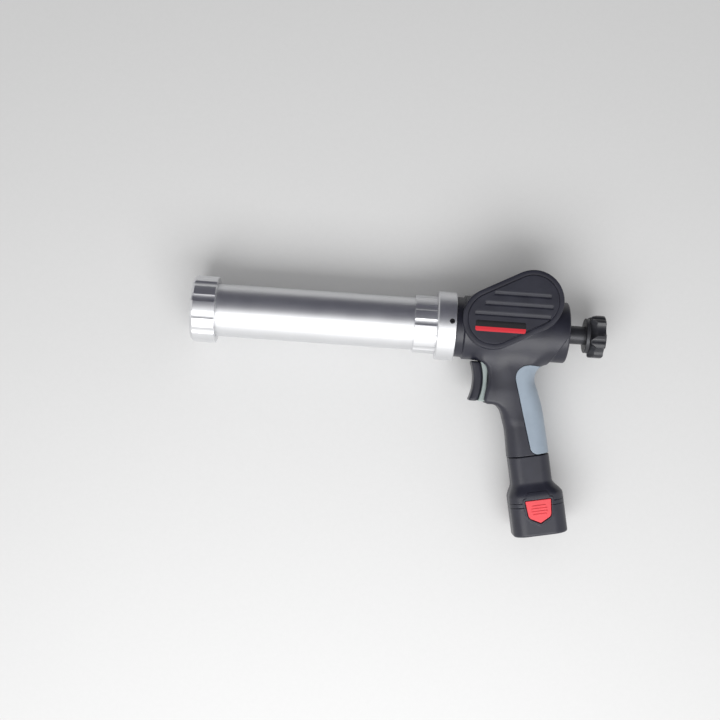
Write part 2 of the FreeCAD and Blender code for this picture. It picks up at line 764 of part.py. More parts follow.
def bush_profile(d, start, end):
    """Plain bush for the push rod between two places along X."""
    inner = d.rod_radius + d.running_clearance
    outer = d.rod_radius + d.bush_wall
    return [(start, inner), (start, outer), (end, outer), (end, inner)]


def build_housing(doc, d, at):
    """Two housing halves with their screws, and the soft grip insert."""
    outer, hollow, grip = housing_solids(d, at)
    half_box = float(d.rim_drop + at.house_back)
    pillars, bores, counterbores, screws = [], [], [], []
    seat = d.case_screw_length / 2 + d.screw_clearance
    for index, (x, height_share) in enumerate(zip(at.case_screws, CASE_SCREW_HEIGHT_SHARES)):
        y = d.drum_radius * height_share
        pillars.append(disc(d.case_pillar_radius, -d.boss_rise, d.boss_rise, x, y))
        bores.append(disc(d.case_screw_radius, -d.boss_rise, d.case_screw_length / 2 + d.overrun, x, y))
        sink = d.case_screw_head + d.screw_clearance
        counterbores.append(disc(sink, -d.boss_rise - d.overrun, -seat, x, y))
        item = screw(doc, f"case_screw_{index}", d.case_screw_head, d.case_screw_head_length,
                     d.case_screw_radius, d.case_screw_length)
        screws.append(place(item, x, y, -seat, ALONG_Z))
    shell = outer.cut(hollow)
    shell = shell.fuse(outer.common(Part.makeCompound(pillars)))
    openings = bores + counterbores + trigger_openings(d, at) + [grip]
    bush_radius = float(d.rod_radius + d.bush_wall)
    openings.append(Part.makeCylinder(bush_radius, half_box, vec(at.ring_back, 0) - vec(d.overrun, 0),
                                      Vector(1, 0, 0)))
    for angle in RING_SCREW_ANGLES:
        cosine, sine = turn_by(angle)
        reach = float(d.neck_radius * RING_SCREW_SHARE)
        openings.append(Part.makeCylinder(float(d.case_screw_radius), float(d.front_wall + d.overrun),
                                          vec(at.ring_back, reach * cosine, reach * sine), Vector(1, 0, 0)))
    shell = shell.cut(openings)
    corner = vec(at.ring_back, 0) - Vector(half_box, half_box, 0)
    span = half_box * 3
    left_half = Part.makeBox(span, span, half_box, corner)
    right_half = Part.makeBox(span, span, half_box, corner - Vector(0, 0, half_box))
    left = solid(doc, "housing_left", largest(shell.common(left_half)))
    right = solid(doc, "housing_right", largest(shell.common(right_half)))
    insert = solid(doc, "grip_insert", largest(grip))
    rear_bush = turned(doc, "rear_rod_bush", bush_profile(d, at.house_back - d.housing_wall, at.house_back))
    return [left, right, insert, rear_bush, group(doc, "case_screws", screws)]


def largest(shape):
    """The main solid of a boolean's result."""
    return max(shape.Solids, key=lambda item: item.Volume)


def trigger_openings(d, at):
    """Pocket that the trigger slides into and the way of its stem to the switch."""
    gap = d.trigger_clearance
    half = d.trigger_width / 2 + gap
    pocket = box_between(vec(at.trigger_front, at.trigger_bottom - gap, -half),
                         vec(at.pocket_back, at.trigger_top + gap, half))
    middle = at.trigger_top - d.trigger_height / 2
    rise, reach = d.stem_height / 2 + gap, d.stem_width / 2 + gap
    passage = box_between(vec(at.trigger_back, middle - rise, -reach),
                          vec(at.switch_front, middle + rise, reach))
    return [pocket, passage]


def build_cover(doc, d, at, label, side):
    """Gear cover: stadium lid with a band round a raised panel, three louvres and a bare label place."""
    base, top = d.boss_rise, at.cover_top
    band = top - d.cover_step
    shoulder = band - d.cover_round
    panel = d.lobe_radius - d.cover_band
    lid = stadium(at, d.lobe_radius, base, shoulder).fuse([
        loft([stadium_wire(at, d.lobe_radius, shoulder),
              stadium_wire(at, d.lobe_radius - d.cover_round, band)], True),
        loft([stadium_wire(at, panel, band), stadium_wire(at, panel - d.cover_step / 2, top)], True)])
    for rise_share, start_share, end_share in LOUVRE_SHARES:
        start = at.lobe_x + d.lobe_radius * start_share
        end = at.lobe_x + d.lobe_radius * end_share
        lid = lid.cut(louvre(d, start, end, at.lobe_y + d.lobe_radius * rise_share, top))
    along_share, rise_share = LABEL_PLACE_SHARES
    label_x = at.lobe_x + d.lobe_radius * along_share
    label_y = at.lobe_y + d.lobe_radius * rise_share
    lid = lid.cut(slot(label_x - d.label_length / 2, label_x + d.label_length / 2, label_y, d.label_width,
                       top - d.label_depth, d.label_depth + d.overrun))
    if side < 0:
        lid = lid.mirror(Vector(0, 0, 0), Vector(0, 0, 1))
        for x, y in post_places(d, at):
            head = disc(d.cover_screw_head + d.screw_clearance, -top - d.overrun,
                        -top + d.cover_screw_head_length, x, y)
            lid = lid.cut(head.fuse(disc(d.cover_screw_radius, -top, -base + d.overrun, x, y)))
    return solid(doc, label, lid)


def louvre(d, start, end, middle, top):
    """Cut of one louvre: it slopes down from its upper edge and ends in an upright lower edge."""
    x, y, z = float(start), float(middle), float(top)
    half, depth, over = float(d.louvre_width) / 2, float(d.louvre_depth), float(d.overrun)
    profile = Part.makePolygon([Vector(x, y + half, z), Vector(x, y - half, z - depth),
                                Vector(x, y - half, z + over), Vector(x, y + half, z + over),
                                Vector(x, y + half, z)])
    return Part.Face(profile).extrude(Vector(float(end) - x, 0, 0))


def post_places(d, at):
    """Centres of the four posts, two about each lobe."""
    places = []
    for centre_x, centre_y, angles in ((at.lobe_x, at.lobe_y, FRONT_POST_ANGLES),
                                       (at.motor_x, at.motor_y, REAR_POST_ANGLES)):
        for angle in angles:
            cosine, sine = turn_by(angle)
            places.append((centre_x + d.post_reach * cosine, centre_y + d.post_reach * sine))
    return places


def build_covers(doc, d, at):
    """Both gear covers, the posts under the right one and its screws."""
    left = build_cover(doc, d, at, "gear_cover_left", 1)
    right = build_cover(doc, d, at, "gear_cover_right", -1)
    plate_face = d.plate_level + d.plate_thickness
    posts, screws = [], []
    shank = d.cover_thickness * 3
    head_seat = -(at.cover_top - d.cover_screw_head_length)
    for index, (x, y) in enumerate(post_places(d, at)):
        blank = doc.addObject("Part::Cylinder", f"cover_post_blank_{index}")
        blank.setExpression("Radius", d.post_radius.text)
        blank.setExpression("Height", (d.boss_rise - plate_face).text)
        place(blank, x, y, -d.boss_rise)
        bore = doc.addObject("Part::Cylinder", f"cover_post_bore_{index}")
        bore.setExpression("Radius", d.cover_screw_radius.text)
        bore.setExpression("Height", shank.text)
        place(bore, x, y, -d.boss_rise)
        post = doc.addObject("Part::Cut", f"cover_post_{index}")
        post.Base = blank
        post.Tool = bore
        posts.append(post)
        item = screw(doc, f"cover_screw_{index}", d.cover_screw_head, d.cover_screw_head_length,
                     d.cover_screw_radius, shank)
        screws.append(place(item, x, y, head_seat, ALONG_Z))
    return [left, right, group(doc, "cover_posts", posts), group(doc, "cover_screws", screws)]


def flank_half_angle(teeth, module, backlash, radius):
    """Half a tooth's angle at a radius: the pitch value plus the change of the involute function."""
    pitch = module * teeth / 2
    base = pitch * math.cos(math.radians(PRESSURE_ANGLE))
    at_pitch = math.tan(math.radians(PRESSURE_ANGLE)) - math.radians(PRESSURE_ANGLE)
    lean = math.acos(min(1.0, base / radius))
    return math.pi / (2 * teeth) - backlash / (4 * pitch) + at_pitch - (math.tan(lean) - lean)


def gear(module_size, teeth, backlash_size, tooth_angle, start, width, x, y):
    """Involute spur gear along Z with one tooth at the given angle, flanks drawn as arcs."""
    module, backlash = float(module_size), float(backlash_size)
    pitch = module * teeth / 2
    tip = pitch + module * ADDENDUM_SHARE
    root = pitch - module * DEDENDUM_SHARE
    foot = max(root, pitch * math.cos(math.radians(PRESSURE_ANGLE)))
    middle = (foot + tip) / 2
    halves = {radius: flank_half_angle(teeth, module, backlash, radius) for radius in (foot, middle, tip)}

    def point(radius, angle):
        return vec(x, y, start) + Vector(radius * math.cos(angle), radius * math.sin(angle), 0)

    edges = []
    step = 2 * math.pi / teeth
    for tooth in range(teeth):
        centre = math.radians(tooth_angle) + tooth * step
        rising = [point(radius, centre - halves[radius]) for radius in (foot, middle, tip)]
        falling = [point(radius, centre + halves[radius]) for radius in (tip, middle, foot)]
        low, high = point(root, centre - halves[foot]), point(root, centre + halves[foot])
        following = point(root, centre + step - halves[foot])
        if foot > root:
            edges.append(Part.LineSegment(low, rising[0]))
        edges.append(Part.Arc(*rising))
        edges.append(Part.Arc(rising[-1], point(tip, centre), falling[0]))
        edges.append(Part.Arc(*falling))
        if foot > root:
            edges.append(Part.LineSegment(falling[-1], high))
        edges.append(Part.Arc(high, point(root, centre + step / 2), following))
    return prism(Part.Wire([edge.toShape() for edge in edges]), width)


def build_gears(doc, d, at):
    """Gear train from the rack pinion to the motor, with its plates, posts, pins and bushes."""
    gear_top = at.low_tier + d.gear_width
    shaft_bore = disc(d.shaft_radius, -d.boss_rise, d.boss_rise, at.pinion_x, at.pinion_y)
    pinion = gear(d.gear_module, PINION_TEETH, d.backlash, -90, -d.pinion_width / 2, d.pinion_width,
                  at.pinion_x, at.pinion_y).cut(shaft_bore)
    drive = gear(d.gear_module, DRIVE_TEETH, d.backlash, COMPOUND_ANGLE, at.low_tier, d.gear_width,
                 at.pinion_x, at.pinion_y).cut(shaft_bore)
    small_phase = COMPOUND_ANGLE + 180 + 180 / COMPOUND_SMALL_TEETH
    small = gear(d.gear_module, COMPOUND_SMALL_TEETH, d.backlash, small_phase, at.low_tier,
                 d.gear_width + d.tier_gap, at.compound_x, at.compound_y)
    large = gear(d.fine_module, COMPOUND_LARGE_TEETH, d.backlash, MOTOR_ANGLE, at.high_tier, d.gear_width,
                 at.compound_x, at.compound_y)
    pin_bore = disc(d.pin_radius + d.running_clearance, 0, d.boss_rise, at.compound_x, at.compound_y)
    output_phase = MOTOR_ANGLE + 180 + 180 / OUTPUT_TEETH
    output = gear(d.fine_module, OUTPUT_TEETH, d.backlash, output_phase, at.high_tier, d.gear_width,
                  at.motor_x, at.motor_y)
    output = output.cut(disc(d.pin_radius, 0, d.boss_rise, at.motor_x, at.motor_y))

    plate_face = d.plate_level + d.plate_thickness
    shaft_low, shaft_high = -(plate_face + d.gear_gap), gear_top + d.gear_gap
    shaft = plain_shaft(doc, "pinion_shaft", d.shaft_radius, shaft_high - shaft_low)
    place(shaft, at.pinion_x, at.pinion_y, shaft_low, ALONG_Z)
    pin_top = at.high_tier + d.gear_width + d.gear_gap
    pin_length = pin_top - d.plate_level
    pin = plain_shaft(doc, "compound_pin", d.pin_radius, pin_length)
    place(pin, at.compound_x, at.compound_y, d.plate_level, ALONG_Z)
    socket_depth = d.gearbox_length / 2
    output_length = pin_top - d.plate_level + socket_depth
    output_shaft = plain_shaft(doc, "output_shaft", d.pin_radius, output_length)
    place(output_shaft, at.motor_x, at.motor_y, d.plate_level - socket_depth, ALONG_Z)

    gearbox_floor = d.plate_level - d.gearbox_length
    socket = d.pin_radius + d.running_clearance
    gearbox = turned(doc, "gearbox", [
        (0, 0), (0, d.motor_radius), (d.gearbox_length, d.motor_radius), (d.gearbox_length, socket),
        (d.gearbox_length - socket_depth, socket), (d.gearbox_length - socket_depth, 0)])
    place(gearbox, at.motor_x, at.motor_y, gearbox_floor, ALONG_Z)
    motor_floor = gearbox_floor - d.motor_length
    motor = turned(doc, "motor", [
        (-d.motor_boss_length, 0), (-d.motor_boss_length, d.motor_boss_radius), (0, d.motor_boss_radius),
        (0, d.motor_radius), (d.motor_length, d.motor_radius), (d.motor_length, 0)])
    place(motor, at.motor_x, at.motor_y, motor_floor, ALONG_Z)

    outline = d.lobe_radius - d.housing_wall - d.plate_clearance
    bush_radius = d.shaft_radius + d.shaft_bush_wall
    left = stadium(at, outline, d.plate_level, plate_face)
    right = stadium(at, outline, -plate_face, -d.plate_level)
    bush_hole = disc(bush_radius, -plate_face, plate_face, at.pinion_x, at.pinion_y)
    left = left.cut([bush_hole, disc(d.pin_radius, 0, plate_face, at.compound_x, at.compound_y),
                     disc(d.pin_radius + d.plate_clearance, 0, plate_face, at.motor_x, at.motor_y)])
    right = right.cut([bush_hole, disc(d.motor_radius + d.plate_clearance, -plate_face, 0,
                                       at.motor_x, at.motor_y)])
    bushes = []
    for index, level in enumerate((d.plate_level, -plate_face)):
        inner = d.shaft_radius + d.running_clearance
        bush = turned(doc, f"shaft_bush_{index}", [
            (0, inner), (0, bush_radius), (d.plate_thickness, bush_radius), (d.plate_thickness, inner)])
        bushes.append(place(bush, at.pinion_x, at.pinion_y, level, ALONG_Z))
    posts = []
    for index, (x, y) in enumerate(post_places(d, at)):
        post = doc.addObject("Part::Cylinder", f"plate_post_{index}")
        post.setExpression("Radius", d.post_radius.text)
        post.setExpression("Height", (d.plate_level * 2).text)
        posts.append(place(post, x, y, -d.plate_level))
    return [solid(doc, "rack_pinion", pinion), solid(doc, "drive_gear", drive),
            solid(doc, "compound_gear", small.fuse(large).cut(pin_bore)), solid(doc, "output_gear", output),
            shaft, pin, output_shaft, gearbox, motor, solid(doc, "gear_plate_left", left),
            solid(doc, "gear_plate_right", right), group(doc, "shaft_bushes", bushes),
            group(doc, "plate_posts", posts)]


def rack_comb(d, at):
    """Cutter for the rack: straight flanks, with one gap below the pinion at rest."""
    module = float(d.gear_module)
    pitch = math.pi * module
    slope = math.tan(math.radians(PRESSURE_ANGLE))
    line = float(d.rack_height)
    top, root = line + module * ADDENDUM_SHARE, line - module * DEDENDUM_SHARE
    half_gap = pitch / 4 + float(d.backlash) / 4
    wide, narrow = half_gap + (top - line) * slope, half_gap - (line - root) * slope
    back = math.ceil(float(d.rod_travel + d.rod_advance) / pitch)
    front = math.ceil(float(d.rod_advance * 2) / pitch)
    centres = [float(at.pinion_x) + index * pitch for index in range(-back, front + 1)]
    depth = float(d.rod_radius)
    ceiling = depth + float(d.overrun)
    points = [Vector(centres[0] - pitch / 2, ceiling, -depth), Vector(centres[0] - pitch / 2, top, -depth)]
    for centre in centres:
        points += [Vector(centre - wide, top, -depth), Vector(centre - narrow, root, -depth),
                   Vector(centre + narrow, root, -depth), Vector(centre + wide, top, -depth)]
    points += [Vector(centres[-1] + pitch / 2, top, -depth), Vector(centres[-1] + pitch / 2, ceiling, -depth)]
    return prism(Part.makePolygon(points + points[:1]), depth * 2)


def build_rod(doc, d, at):
    """Push rod with its rack, plunger, flange, knob and their bolts."""
    bolt_end = at.plunger_front + d.plunger_bolt_head_length + d.plunger_bolt_length
    knob_seat = at.knob_back - d.knob_bolt_head_length
    rod = revolved([
        (at.plunger_seat, d.plunger_bolt_radius), (at.plunger_seat, d.rod_radius),
        (at.rod_back, d.rod_radius),
        (at.rod_back, d.knob_bolt_radius), (knob_seat - d.knob_bolt_length, d.knob_bolt_radius),
        (knob_seat - d.knob_bolt_length, 0), (bolt_end, 0), (bolt_end, d.plunger_bolt_radius)])
    rod = rod.cut(rack_comb(d, at))
    disc_radius = d.tube_radius - d.tube_wall - d.plunger_clearance
    head_floor = at.plunger_front + d.plunger_bolt_head_length
    plunger = turned(doc, "plunger", [
        (at.plunger_front, d.plunger_bolt_head), (at.plunger_front, disc_radius),
        (at.plunger_back, disc_radius), (at.plunger_back, d.plunger_boss_radius),
        (at.plunger_back + d.plunger_boss_length, d.plunger_boss_radius),
        (at.plunger_back + d.plunger_boss_length, d.rod_radius), (at.plunger_seat, d.rod_radius),
        (at.plunger_seat, d.plunger_bolt_radius), (head_floor, d.plunger_bolt_radius),
        (head_floor, d.plunger_bolt_head)])
    bolt = screw(doc, "plunger_bolt", d.plunger_bolt_head, d.plunger_bolt_head_length, d.plunger_bolt_radius,
                 d.plunger_bolt_length)
    place(bolt, head_floor, 0, 0)
    flange = turned(doc, "rod_flange", [
        (at.flange_front, d.rod_radius), (at.flange_front, d.flange_radius), (at.knob_front, d.flange_radius),
        (at.knob_front, d.rod_radius)])
    knob = turned(doc, "pull_knob", [
        (at.knob_front, d.rod_radius), (at.knob_front, d.knob_radius - d.knob_chamfer),
        (at.knob_front + d.knob_chamfer, d.knob_radius), (at.knob_back - d.knob_chamfer / 2, d.knob_radius),
        (at.knob_back, d.knob_radius - d.knob_chamfer / 2), (at.knob_back, d.knob_bolt_head),
        (knob_seat, d.knob_bolt_head), (knob_seat, d.knob_bolt_radius), (at.rod_back, d.knob_bolt_radius),
        (at.rod_back, d.rod_radius)])
    flute(doc, knob, KNOB_LOBES, KNOB_SCALLOP_ANGLE, d.knob_scallop_radius,
          d.knob_radius + d.knob_scallop_radius - d.knob_scallop_depth)
    knob_bolt = screw(doc, "knob_bolt", d.knob_bolt_head, d.knob_bolt_head_length, d.knob_bolt_radius,
                      d.knob_bolt_length)
    place(knob_bolt, knob_seat, 0, 0, Rotation(Vector(0, 1, 0), 180))
    return [solid(doc, "push_rod", rod), plunger, bolt, flange, knob, knob_bolt]


def hollow_outline(front, back, hollow, top, bottom, lean, level):
    """Outline between a hollow front arc and a hollow back arc, as (front x, back x, lean) at one level."""
    middle = (top + bottom) / 2
    front_mid = Vector(front + hollow[0], middle, level)
    back_mid = Vector(back + hollow[1], middle, level)
    corners = (Vector(front, top, level), Vector(back, top, level),
               Vector(back + lean, bottom, level), Vector(front, bottom, level))
    return Part.Wire([
        Part.LineSegment(corners[0], corners[1]).toShape(),
        Part.Arc(corners[1], back_mid, corners[2]).toShape(),
        Part.LineSegment(corners[2], corners[3]).toShape(),
        Part.Arc(corners[3], front_mid, corners[0]).toShape(),
    ])


def build_trigger(doc, d, at):
    """Trigger with its stem, and the pale crescent behind its front."""
    front, back = float(at.trigger_front), float(at.trigger_back)
    top, bottom = float(at.trigger_top), float(at.trigger_bottom)
    hollow, crescent = float(d.trigger_hollow), float(d.inlay_hollow)
    seam = back - float(d.inlay_depth)
    lean = float(d.inlay_lean)
    low = -float(d.trigger_width) / 2
    face = prism(hollow_outline(front, seam, (hollow, crescent), top, bottom, 0, low), d.trigger_width)
    front_edges = [edge for edge in face.Edges
                   if edge.BoundBox.ZLength < float(d.trigger_edge) and edge.CenterOfMass.x < front + hollow]
    face = face.makeFillet(float(d.trigger_edge), front_edges)
    middle = (top + bottom) / 2
    stem = box_between(vec(seam, middle - float(d.stem_height) / 2, -d.stem_width / 2),
                       vec(at.stem_back, middle + float(d.stem_height) / 2, d.stem_width / 2))
    trigger = face.fuse(stem)
    foot_lean = lean - float(d.trigger_gap)
    outline = hollow_outline(seam, back - lean, (crescent, lean), top, bottom, foot_lean, low)
    inlay = prism(outline, d.trigger_width)
    return [solid(doc, "trigger", trigger), solid(doc, "trigger_inlay", largest(inlay.cut(trigger)))]


def build_electrics(doc, d, at):
    """Trigger switch, circuit board and the terminal block over the battery's stick."""
    switch_top = -d.drum_radius * SWITCH_TOP_SHARE
    core = handle_loft(d, d.housing_wall + d.trigger_clearance / 2, 0)
    seat = on_handle(d, at, core.copy())
    span = d.handle_width / 2
    switch = seat.common(box_between(vec(at.switch_front, switch_top - d.switch_height, -span),
                                     vec(at.switch_front + d.switch_length, switch_top, span)))
    board = doc.addObject("Part::Box", "circuit_board")
    board.setExpression("Length", d.board_length.text)
    board.setExpression("Width", d.board_thickness.text)
    board.setExpression("Height", d.board_width.text)
    place(board, at.ring_back + d.board_length / 2, -d.board_drop, -d.board_width / 2)
    low = d.stick_length + d.rim_gap
    block = core.common(box_between(vec(-d.handle_depth, low, -span),
                                    vec(d.handle_depth, low + d.terminal_length, span)))
    gap = d.button_clearance
    block = block.cut([blade(d, offset, gap) for offset in BLADE_OFFSETS])
    return [solid(doc, "trigger_switch", switch), board,
            solid(doc, "terminal_block", on_handle(d, at, largest(block)))]


def blade(d, offset, gap):
    """One battery contact, grown by a gap, about the rim's centre."""
    x = float(d.blade_pitch) * offset
    half, reach = float(d.blade_thickness) / 2 + float(gap), float(d.blade_width) / 2 + float(gap)
    low = float(d.stick_length)
    high = low + float(d.blade_length) + float(gap)
    return box_between(Vector(x - half, low, -reach), Vector(x + half, high, reach))


def pack_wire(depth, width, corner, shift, level, inset):
    """Rounded section of the battery, drawn in by an inset."""
    return section_wire(shift - depth / 2 + inset, shift + depth / 2 - inset, width / 2 - inset,
                        corner - inset, level)


def battery_form(d, inset):
    """Stick, neck, flare and base of the battery about the rim's centre, drawn in by an inset."""
    neck_size = (d.neck_depth, d.neck_width, d.neck_round, 0)
    base_size = (d.base_depth, d.base_width, d.base_round, d.base_shift)
    stick = Part.Face(pack_wire(d.stick_depth, d.stick_width, d.stick_round, 0, -d.neck_drop, inset))
    stick = stick.extrude(vec(0, d.neck_drop + d.stick_length - inset))
    neck = Part.Face(pack_wire(*neck_size, -d.neck_drop, inset))
    neck = neck.extrude(vec(0, d.neck_drop - d.rim_gap - inset))
    flare = loft([pack_wire(*neck_size, -d.neck_drop, inset),
                  pack_wire(*base_size, -d.flare_drop, inset)], True)
    base = Part.Face(pack_wire(*base_size, -d.flare_drop, inset))
    base = base.extrude(vec(0, d.flare_drop - d.base_drop + inset))
    return stick.fuse([neck, flare, base])


def button_outline(d, gap, level):
    """Shield outline of a release button about the rim's centre, grown by a gap."""
    middle, half = float(d.base_shift), float(d.button_width) / 2 + float(gap)
    top = float(gap) - float(d.button_drop)
    low = -float(d.button_drop + d.button_height) - float(gap)
    shoulder = -float(d.button_drop) - float(d.button_height) * BUTTON_SHOULDER_SHARE - float(gap) / 2
    side = half * BUTTON_SIDE_SHARE
    points = [Vector(middle - half, top, level), Vector(middle + half, top, level),
              Vector(middle + side, shoulder, level), Vector(middle, low, level),
              Vector(middle - side, shoulder, level)]
    return Part.makePolygon(points + points[:1])


def build_battery(doc, d, at):
    """Battery shell, base cap, cells, contacts, release buttons, their springs and the base screws."""
    outer, inner = battery_form(d, 0), battery_form(d, d.battery_wall)
    seam = -d.seam_drop
    span = d.base_depth
    upper = box_between(vec(-span, seam, -span), vec(span, d.stick_length, span))
    lower = box_between(vec(-span, -d.base_drop, -span), vec(span, seam, span))
    shell = outer.common(upper).cut(inner)
    base_edges = [edge for edge in outer.Edges if edge.BoundBox.YMax < float(d.battery_wall - d.base_drop)]
    cap = outer.makeChamfer(float(d.base_chamfer), base_edges).common(lower).cut(inner)
    groove = outer.common(box_between(vec(-span, seam, -span), vec(span, seam + d.seam_groove, span)))
    groove = groove.cut(battery_form(d, d.seam_groove))
    shell = shell.cut(groove)

    face = d.base_width / 2
    pockets, buttons, springs = [], [], []
    for name, side in (("left", 1), ("right", -1)):
        root = face + d.button_proud - d.button_thickness
        pocket = prism(button_outline(d, d.button_clearance, 0), face + d.overrun)
        pocket = pocket.cut(prism(button_outline(d, d.button_clearance, 0), root - d.button_travel))
        body = prism(button_outline(d, 0, float(root)), d.button_thickness)
        leaf = box_between(
            vec(d.base_shift - d.spring_width / 2, -d.button_drop - d.button_height / 2 - d.spring_width,
                root - d.button_clearance / 2 - d.spring_thickness),
            vec(d.base_shift + d.spring_width / 2, -d.button_drop - d.button_height / 2 + d.spring_width,
                root - d.button_clearance / 2))
        if side < 0:
            mirror = (Vector(0, 0, 0), Vector(0, 0, 1))
            pocket, body, leaf = pocket.mirror(*mirror), body.mirror(*mirror), leaf.mirror(*mirror)
        pockets.append(pocket)
        buttons.append(solid(doc, f"release_button_{name}", on_handle(d, at, body)))
        springs.append(solid(doc, f"button_spring_{name}", on_handle(d, at, leaf)))
    shell, cap = shell.cut(pockets), cap.cut(pockets)

    cells = []
    cell_floor = -d.base_drop + d.battery_wall + d.trigger_clearance / 2
    half_pitch = d.cell_radius + d.cell_gap
    rise = half_pitch * (math.sqrt(3) / 2)
    for index, (x, z) in enumerate(((-half_pitch, -rise), (half_pitch, -rise), (0, rise))):
        cell = Part.makeCylinder(float(d.cell_radius), float(d.cell_length), vec(x, cell_floor, z),
                                 Vector(0, 1, 0))
        cells.append(solid(doc, f"cell_{index}", on_handle(d, at, cell)))

    screws = []
    seat = -d.base_drop + d.base_screw_head_length
    for index, (along_share, across_share) in enumerate(BASE_SCREW_SHARES):
        x = d.base_shift + d.base_depth * along_share
        z = d.base_width * across_share
        pillar = Part.makeCylinder(float(d.base_pillar_radius), float(d.base_drop - d.seam_drop),
                                   vec(x, -d.base_drop, z), Vector(0, 1, 0))
        cap = cap.fuse(pillar)
        head_sink = Part.makeCylinder(float(d.base_screw_head), float(d.base_screw_head_length),
                                      vec(x, -d.base_drop, z), Vector(0, 1, 0))
        hole = Part.makeCylinder(float(d.base_screw_radius), float(d.base_screw_length),
                                 vec(x, seat, z), Vector(0, 1, 0))
        cap = cap.cut([head_sink, hole])
        item = Part.makeCylinder(float(d.base_screw_radius), float(d.base_screw_length), vec(x, seat, z),
                                 Vector(0, 1, 0)).fuse(head_sink)
        screws.append(solid(doc, f"base_screw_{index}", on_handle(d, at, item)))
    blades = [solid(doc, f"blade_{index}", on_handle(d, at, blade(d, offset, 0)))
              for index, offset in enumerate(BLADE_OFFSETS)]
    return [solid(doc, "battery_shell", on_handle(d, at, largest(shell))),
            solid(doc, "battery_base_cap", on_handle(d, at, largest(cap))),
            group(doc, "battery_cells", cells), group(doc, "battery_contacts", blades), *buttons, *springs,
            group(doc, "base_screws", screws)]


def check_document(doc, nodes):
    """Stop if any object failed or any node has no valid shape."""
    for item in doc.Objects:
        if "Invalid" in item.State or "Error" in item.State:
            raise RuntimeError(f"{item.Label} is {item.State}")
    for node in nodes:
        if node.Shape.isNull() or not node.Shape.isValid() or not node.Shape.Solids:
            raise RuntimeError(f"{node.Label} has no valid solid")


def main():
    """Build every piece, check the document and write one STEP file per node."""
    doc = FreeCAD.newDocument("caulking_tool")
    d = read_sheet(doc)
    at = lay_out(d)
    nodes = []
    for build in (build_barrel, build_housing, build_covers, build_gears, build_rod, build_trigger,
                  build_electrics, build_battery):
        nodes += build(doc, d, at)
    doc.recompute()
    check_document(doc, nodes)
    os.makedirs("parts", exist_ok=True)
    for node in nodes:
        node.Shape.exportStep(f"parts/{node.Label}.step")
        print(f"{node.Label}: {len(node.Shape.Solids)} solid(s), {node.Shape.Volume:.0f} mm3")


main()
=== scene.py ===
import functools
import json
import logging
import math
from abc import ABC, abstractmethod
from dataclasses import dataclass
from enum import Enum
from typing import Callable, Mapping, Sequence, Union

import bpy
import numpy as np
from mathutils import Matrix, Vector


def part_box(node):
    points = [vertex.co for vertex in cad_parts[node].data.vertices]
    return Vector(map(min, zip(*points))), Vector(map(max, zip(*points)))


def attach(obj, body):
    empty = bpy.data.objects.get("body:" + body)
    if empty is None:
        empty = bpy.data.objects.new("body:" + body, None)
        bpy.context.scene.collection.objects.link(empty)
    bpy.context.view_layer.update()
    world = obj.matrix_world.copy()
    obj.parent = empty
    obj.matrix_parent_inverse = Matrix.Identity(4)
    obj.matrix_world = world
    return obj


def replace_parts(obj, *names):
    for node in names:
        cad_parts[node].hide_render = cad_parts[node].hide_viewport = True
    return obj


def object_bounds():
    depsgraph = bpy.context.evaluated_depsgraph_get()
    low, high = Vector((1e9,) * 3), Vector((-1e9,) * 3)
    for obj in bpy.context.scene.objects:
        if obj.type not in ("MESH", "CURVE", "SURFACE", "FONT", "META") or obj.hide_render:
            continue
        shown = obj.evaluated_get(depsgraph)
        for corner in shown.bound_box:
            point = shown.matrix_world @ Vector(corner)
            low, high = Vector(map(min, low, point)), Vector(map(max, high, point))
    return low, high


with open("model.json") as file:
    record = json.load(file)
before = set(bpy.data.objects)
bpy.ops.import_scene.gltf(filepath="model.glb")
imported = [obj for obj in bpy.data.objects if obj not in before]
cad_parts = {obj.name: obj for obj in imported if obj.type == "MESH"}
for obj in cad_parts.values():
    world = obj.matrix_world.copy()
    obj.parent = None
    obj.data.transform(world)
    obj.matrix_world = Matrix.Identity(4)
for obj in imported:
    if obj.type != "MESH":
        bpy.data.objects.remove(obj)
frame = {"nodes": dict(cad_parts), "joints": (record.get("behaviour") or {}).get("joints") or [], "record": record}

# Looks of a cordless caulking tool that lies on its right side.
# X runs from the nozzle to the pull knob, -Y down the handle and +Z out of the tool's left side.
# Sizes in this file are in millimetres and become metres when a mesh is made.

LOG = logging.getLogger("caulking_tool")
MM = 0.001
CAD_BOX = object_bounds()
Array = np.ndarray
Field = Callable[[Array, Array, Array], Array]
Shape = Callable[[Array, Array, Array], Sequence[Array]]


class Side(Enum):
    """The two sides of the tool, with the sign of their Z."""

    LEFT = 1
    RIGHT = -1

    @property
    def word(self) -> str:
        """The side's name as node names spell it."""
        return self.name.lower()


@dataclass(frozen=True)
class Span:
    """Box of a CAD node at rest, in millimetres."""

    low: Array
    high: Array

    @classmethod
    @functools.cache
    def of(cls, node: str) -> "Span":
        """Read the box of a CAD node.

        Args:
            node: name of the CAD node.

        Returns:
            The node's lowest and highest corner in millimetres.
        """
        low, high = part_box(node)
        return cls(np.array(low) / MM, np.array(high) / MM)


def joint_named(name: str) -> Mapping[str, Sequence[float]]:
    """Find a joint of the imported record.

    Args:
        name: the joint's name.

    Returns:
        The joint's row, with its axis and place in metres.
    """
    return next(row for row in frame["joints"] if row["name"] == name)


def joint_place(name: str) -> Array:
    """Place of a hinge in the XY plane, in millimetres."""
    return np.array(joint_named(name)["pos_m"][:2]) / MM


